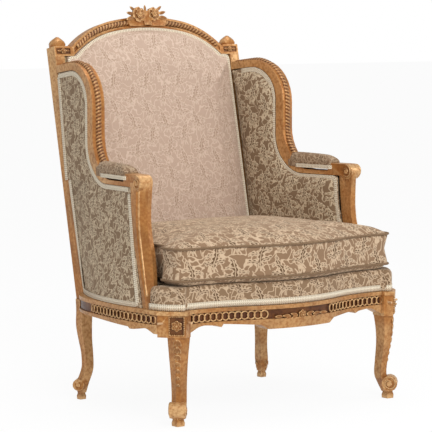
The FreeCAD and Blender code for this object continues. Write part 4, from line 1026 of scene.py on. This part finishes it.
def front_line(inset, end_x=0.333, z=0.0):
    """The serpentine front's corners and radii, moved back by inset."""
    slope_turn = math.radians(22.6)
    tip = -0.355 - 0.390 * (1 / math.cos(slope_turn) - 1) + inset / math.cos(slope_turn)
    level = -0.296 + inset
    knee = (level - tip) / math.tan(slope_turn)
    return [
        ((-end_x, level, z), 0), ((-knee, level, z), 0.378 + inset), ((0, tip, z), 0.390 - inset),
        ((knee, level, z), 0.378 + inset), ((end_x, level, z), 0),
    ]


PROUD = 0.0006
SEAT_BRAID_Z = 0.301
corner_run = [
    ((0.3964, -0.2245, SEAT_BRAID_Z), 0),
    ((0.391 + PROUD, -0.258 - PROUD, SEAT_BRAID_Z), 0.02),
    ((0.378 + PROUD, -0.281 - PROUD, SEAT_BRAID_Z), 0.014),
    ((0.347 + PROUD, -0.310 - PROUD, SEAT_BRAID_Z), 0.008),
    ((0.330 + PROUD, -0.291 - PROUD, SEAT_BRAID_Z), 0.012),
]
middle_run = front_line(0.005 - PROUD, 0.33, SEAT_BRAID_Z)[3:0:-1]
corners = corner_run + middle_run + [((-x, y, z), r) for (x, y, z), r in reversed(corner_run)]
line = rounded_line(corners, 0.006)
lifts = [Vector((way.y, -way.x, 0)) for way in headings(line)]
seat_braid = made("braid_seat", ribbon(line, lifts, 0.0165, 0.0024), gimp_cream, "gimp_braid", sharp=180)
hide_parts("gimp_seat")


def arm_braid():
    """Round the arm pad's foot."""
    middle, reach = WING_MIDDLE, 0.0222
    corners = [
        ((middle + reach, 0.046, 0.6158), 0), ((middle + reach, -0.0842, 0.6158), 0.004),
        ((middle - reach, -0.0842, 0.6158), 0.004), ((middle - reach, 0.046, 0.6158), 0),
    ]
    points = rounded_line(corners, 0.004)
    outward = [(point - Vector((middle, 0.0, 0.6158))) for point in points]
    lifts = []
    for way, off in zip(headings(points), outward):
        lift = Vector((way.y, -way.x, 0))
        lifts.append(lift if lift.dot(off) > 0 else -lift)
    return moved(ribbon(points, lifts, 0.0105, 0.002), SWING)


braid_pair("braid_arm_pad", arm_braid, "gimp_arm_pad")


# The cushion's seams: a thin velvet piping, cut from plain cloth and sewn in where the boxing
# meets the top and the underside.

piping_velvet = damask(
    "piping_velvet", paint(100, 78, 56), paint(120, 96, 72), paint(150, 124, 98), 0.4, sheen=0.1
)
PIPING_RADIUS = 0.0032
UP = Vector((0, 0, 1))
for name, height in (("upper", 0.447), ("lower", 0.366)):
    right = [
        ((0.361, -0.300, height), 0.028), ((0.361, -0.223, height), 0.014),
        ((0.329, -0.216, height), 0), ((0.286, 0.156, height), 0.022),
    ]
    left = [((-x, y, z), r) for (x, y, z), r in reversed(right)]
    line = rounded_line(front_line(-0.003, 0.3, height)[1:-1] + right + left, 0.006, closed=True)
    stations = []
    for point, way in zip(line, headings(line, True)):
        out = Vector((way.y, -way.x, 0))
        rim = [2 * math.pi * k / 8 for k in range(8)]
        stations.append([point + (out * math.cos(turn) + UP * math.sin(turn)) * PIPING_RADIUS for turn in rim])
    piping = drawn_out(stations, path_closed=True)
    made("cushion_piping_" + name, piping, piping_velvet, "damask_cushion", body="cushion", sharp=180)


# The guilloche: overlapping rings carved from the seat rails' own timber, in their sunk bands,
# with painted shade darkening the band behind them.


def ring_of(centre, way, outward, radius, thick, lift):
    """One carved ring, with its face outwards and a slight tilt over its neighbour."""
    bm = bmesh.new()
    start = bmesh.ops.create_circle(bm, segments=6, radius=thick)["verts"]
    stood = Matrix.Translation((radius, 0, 0)) @ Matrix.Rotation(math.pi / 2, 4, "X")
    bmesh.ops.transform(bm, matrix=stood, verts=start)
    bmesh.ops.spin(
        bm, geom=bm.edges[:], angle=2 * math.pi, steps=18, axis=(0, 0, 1), cent=(0, 0, 0), use_merge=True
    )
    bmesh.ops.recalc_face_normals(bm, faces=bm.faces)
    tilt = Matrix.Rotation(math.radians(lift), 4, "Y")
    turn = Matrix((way, Vector((0, 0, 1)), outward)).transposed().to_4x4()
    bmesh.ops.transform(bm, matrix=Matrix.Translation(centre) @ turn @ tilt, verts=bm.verts)
    return bm


def gathered(meshes):
    """Many small shapes as one mesh."""
    whole = bmesh.new()
    for part in meshes:
        mesh = bpy.data.meshes.new("part")
        part.to_mesh(mesh)
        part.free()
        whole.from_mesh(mesh)
        bpy.data.meshes.remove(mesh)
    return whole


def guilloche(corners, skip):
    """Rings along a rail's face, except where a carved plate covers it."""
    line = rounded_line(corners, 0.0178)
    rings = []
    for point, way in zip(line, headings(line)):
        if skip(point):
            continue
        outward = Vector((way.y, -way.x, 0))
        rings.append(ring_of(point, way, outward, 0.0103, 0.0021, 4))
    return gathered(rings)


BAND_MIDDLE = 0.2695
PLATE_HALF = 0.112
front_rings = guilloche(front_line(0.001, 0.318, BAND_MIDDLE), lambda p: abs(p.x) < PLATE_HALF)
made("guilloche_front", front_rings, toned_gold, "giltwood", sharp=180)
side_line = [
    ((0.3005, 0.1635, BAND_MIDDLE), 0), ((0.378, 0.118, BAND_MIDDLE), 0.22),
    ((0.412, -0.140, BAND_MIDDLE), 0.6), ((0.3995, -0.246, BAND_MIDDLE), 0),
]


def side_rings():
    line = [((x - 0.001, y, z), r) for (x, y, z), r in reversed(side_line)]
    return guilloche(line, lambda p: False)


both_sides("guilloche_side", side_rings, dark_gold, "giltwood", sharp=180)


# Small carving, cut from the same timber as the rails and legs: rosettes, leaves and scrolls
# that stand a few millimetres proud. Each is set on the face that it is carved in.


def petal(length, breadth, height, lift=0.0):
    """A rounded leaf that lies along X from its foot at the origin, cupped a little."""
    bm = bmesh.new()
    bmesh.ops.create_uvsphere(bm, u_segments=12, v_segments=8, radius=0.5)
    for vert in bm.verts:
        share = vert.co.x + 0.5
        pinch = 0.35 + 1.25 * math.sqrt(max(0.0, share * (1 - share))) * (1.15 - 0.4 * share)
        rise = vert.co.z * height + lift * share * share
        vert.co = Vector((share * length, vert.co.y * breadth * pinch, rise))
    return bm


def set_on(bm, centre, along, outward):
    """Places a shape drawn on the XY plane so that its X runs along and its Z looks outward."""
    outward = outward.normalized()
    along = (along - outward * along.dot(outward)).normalized()
    turn = Matrix((along, outward.cross(along), outward)).transposed().to_4x4()
    bmesh.ops.transform(bm, matrix=Matrix.Translation(centre) @ turn, verts=bm.verts)
    return bm


def rosette(radius, petals, height):
    """A flower of cupped petals in two rows round a bud."""
    parts = []
    for row, (share, lift) in enumerate(((1.0, 0.25), (0.62, 0.7))):
        for k in range(petals):
            one = petal(radius * share, radius * share * 0.95, height * 0.8, height * lift)
            turn = Matrix.Rotation(2 * math.pi * (k + row * 0.5) / petals, 4, "Z")
            raised = Matrix.Translation((0, 0, height * 0.5 * row))
            bmesh.ops.transform(one, matrix=turn @ raised, verts=one.verts)
            parts.append(one)
    bud = bmesh.new()
    bmesh.ops.create_uvsphere(bud, u_segments=12, v_segments=8, radius=radius * 0.24)
    bmesh.ops.translate(bud, vec=(0, 0, height * 1.1), verts=bud.verts)
    parts.append(bud)
    return gathered(parts)


def scroll(centre, face, up, radius, turns, thick, hand):
    """A raised spiral on a round face, from its rim to its eye."""
    face = face.normalized()
    up = (up - face * up.dot(face)).normalized()
    aside = face.cross(up) * hand
    steps = int(26 * turns)
    points = []
    sizes = []
    for k in range(steps + 1):
        share = k / steps
        reach = radius * (1 - 0.86 * share)
        turn = 2 * math.pi * turns * share
        points.append(centre + up * (math.cos(turn) * reach) + aside * (math.sin(turn) * reach))
        sizes.append(thick * (1 - 0.55 * share))
    stations = []
    for point, way, size in zip(points, headings(points), sizes):
        flat_way = way.cross(face)
        rim = [2 * math.pi * n / 8 for n in range(8)]
        stations.append([point + (flat_way * math.cos(a) + face * math.sin(a)) * size for a in rim])
    return drawn_out(stations)


def carved(name, build, material=toned_gold):
    """Carving on the right side and its mirror on the left."""
    return both_sides(name, build, material, "giltwood", sharp=60)


CORNER_OUT = Vector((1, -1, 0)).normalized()
CORNER_WAY = Vector((1, 1, 0)).normalized()


def corner_block():
    """The block over the front leg: a rosette in a beaded frame."""
    face = Vector((0.366, -0.301, 0.256)) + CORNER_OUT * 0.0016
    parts = [set_on(rosette(0.0145, 6, 0.0032), face, UP, CORNER_OUT)]
    for count, start, edge, run, cross in (
        (9, 0.0245, 0.0188, UP, CORNER_WAY), (7, 0.0189, 0.0235, CORNER_WAY, UP),
    ):
        for k in range(count):
            for side in (-1, 1):
                place = face + cross * (side * edge) + run * (k * 0.0054 - start)
                parts.append(set_on(petal(0.0052, 0.0045, 0.0042), place, run, CORNER_OUT))
    return gathered(parts)


carved("block_rosette", corner_block)


def onto(node, start, way):
    """The point where a line first meets a CAD piece, and the way its face looks."""
    bm = welded(node)
    tree = BVHTree.FromBMesh(bm)
    bm.free()
    found = []
    for place in start:
        hit, normal, _, _ = tree.ray_cast(place, way)
        found.append((hit, normal) if hit is not None else None)
    return found


def leg_husks():
    """A fall of husks down the front of the cabriole leg."""
    starts = [Vector((0.36, -0.296, 0.222 - k * 0.019)) + CORNER_OUT * 0.2 for k in range(7)]
    parts = []
    for k, found in enumerate(onto("front_leg_right", starts, -CORNER_OUT)):
        if found is None:
            continue
        hit, normal = found
        size = 1 - 0.09 * k
        for lean in (-0.55, 0.0, 0.55):
            way = CORNER_WAY * lean - UP
            husk = petal(0.021 * size, 0.0105 * size, 0.0046)
            parts.append(set_on(husk, hit - normal * 0.0004, way, normal))
    return gathered(parts)


carved("leg_husks", leg_husks)


def foot_scrolls():
    """The spirals on both faces of the front foot's volute."""
    centre = Vector((0.3585, -0.2955, 0.041))
    parts = []
    for side in (1, -1):
        face = CORNER_WAY * side
        parts.append(scroll(centre + face * 0.0203, face, UP, 0.0178, 1.6, 0.0026, side))
    return gathered(parts)


carved("foot_scrolls", foot_scrolls)


def arm_scrolls():
    """The spirals on both faces of the arm's end."""
    parts = []
    for side in (-1, 1):
        face = Vector((side, 0, 0))
        centre = Vector((0.3535 + side * 0.0188, -0.139, 0.606))
        parts.append(scroll(centre, face, UP, 0.0182, 1.7, 0.0024, side))
    return gathered(parts)


carved("arm_scrolls", arm_scrolls)

POST_ROWS = (
    (0.596, -0.160, -0.137, 0.3715, 0.035), (0.551, -0.156, -0.135, 0.3715, 0.034),
    (0.513, -0.155, -0.135, 0.3715, 0.034), (0.475, -0.160, -0.139, 0.372, 0.034),
    (0.437, -0.173, -0.148, 0.374, 0.034), (0.400, -0.187, -0.161, 0.378, 0.033),
    (0.350, -0.203, -0.182, 0.385, 0.031), (0.322, -0.211, -0.196, 0.389, 0.028),
)


def post_reeds():
    """Three reeds up the front of the arm post, with dark hollows between them."""
    parts = []
    for share in (0.2, 0.5, 0.8):
        corners = []
        for z, inner_y, outer_y, outer_x, width in POST_ROWS:
            place = Vector((outer_x - width * (1 - share), inner_y + (outer_y - inner_y) * share, z))
            corners.append((tuple(place + Vector((0.35, -0.94, 0)) * 0.0004), 0))
        points = rounded_line(corners, 0.008)
        stations = []
        for point, way in zip(points, headings(points)):
            aside = Vector((0.9, 0.4, 0)).normalized()
            out = aside.cross(way).normalized()
            rim = [2 * math.pi * n / 8 for n in range(8)]
            stations.append([
                point + aside * (math.cos(turn) * 0.0036) + out * (math.sin(turn) * 0.0030) for turn in rim
            ])
        parts.append(drawn_out(stations))
    return gathered(parts)


carved("post_reeds", post_reeds, smooth_gold)

# The crest: a band of small leaves in its sunk channel, a bow with two roses over its middle,
# and an eared block with a bud at each end.

channel = arch_line(1.0130, 0.2510, 0.9365)
channel = rounded_line([((point.x, 0.0006, point.z), 0) for point in channel[3:-3]], 0.0016)
band = rope(channel, Vector((0, 1, 0)), 0.0074, 0.0022, 0.0105, sides=16)
made("crest_leaf_band", moved(band, BACK), toned_gold, "giltwood", sharp=180)

crown = up_slope(1.027)
top_parts = []
facing = Vector((0, -1, 0))
for x, rise, size in ((-0.027, 0.006, 0.0215), (0.024, 0.007, 0.0195)):
    top_parts.append(set_on(rosette(size, 6, 0.0055), Vector((x, -0.0105, crown + rise)), UP, facing))
for x, z, lean, size in (
    (-0.044, -0.002, 195, 0.030), (-0.044, 0.006, 170, 0.026), (-0.038, 0.015, 145, 0.022),
    (0.040, -0.001, -12, 0.030), (0.040, 0.007, 12, 0.026), (0.035, 0.015, 38, 0.022),
    (-0.003, 0.012, 95, 0.020), (-0.004, -0.008, 250, 0.020), (0.004, -0.008, 290, 0.020),
):
    way = Vector((math.cos(math.radians(lean)), 0, math.sin(math.radians(lean))))
    tail = petal(size, size * 0.42, 0.006, 0.002)
    top_parts.append(set_on(tail, Vector((x, -0.0095, crown + z)), way, facing))
made("cresting_flowers", moved(gathered(top_parts), BACK), toned_gold, "giltwood", sharp=60)


def ear_bud():
    """The bud and leaves in the ear's sunk field."""
    middle = Vector((0.287, -0.0004, up_slope(0.936)))
    parts = [set_on(rosette(0.0085, 5, 0.003), middle, UP, facing)]
    for side in (-1, 1):
        way = Vector((side, 0, 0))
        parts.append(set_on(petal(0.013, 0.006, 0.0035), middle + way * 0.007, way, facing))
    return moved(gathered(parts), BACK)


carved("ear_bud", ear_bud)

# The front rail's middle: a rose between leaves, carved on the plate and gilded with the rail.
# The leaves follow the rail's swell.

PLATE_Y = -0.3556
PLATE_Z = 0.262
plate_parts = [set_on(rosette(0.0135, 6, 0.0032), Vector((0, PLATE_Y + 0.0008, PLATE_Z)), UP, facing)]
for side in (-1, 1):
    for reach, lean, size in (
        (0.014, 12, 0.026), (0.014, -18, 0.024), (0.038, 2, 0.026),
        (0.036, -24, 0.02), (0.062, 0, 0.026),
    ):
        way = Vector((side * math.cos(math.radians(lean)), 0, math.sin(math.radians(lean))))
        start = Vector((side * reach, PLATE_Y + 0.0010 + 1.21 * reach * reach, PLATE_Z))
        plate_parts.append(set_on(petal(size, size * 0.36, 0.0042), start, way, facing))
made("plate_rose", gathered(plate_parts), toned_gold, "giltwood", sharp=60)
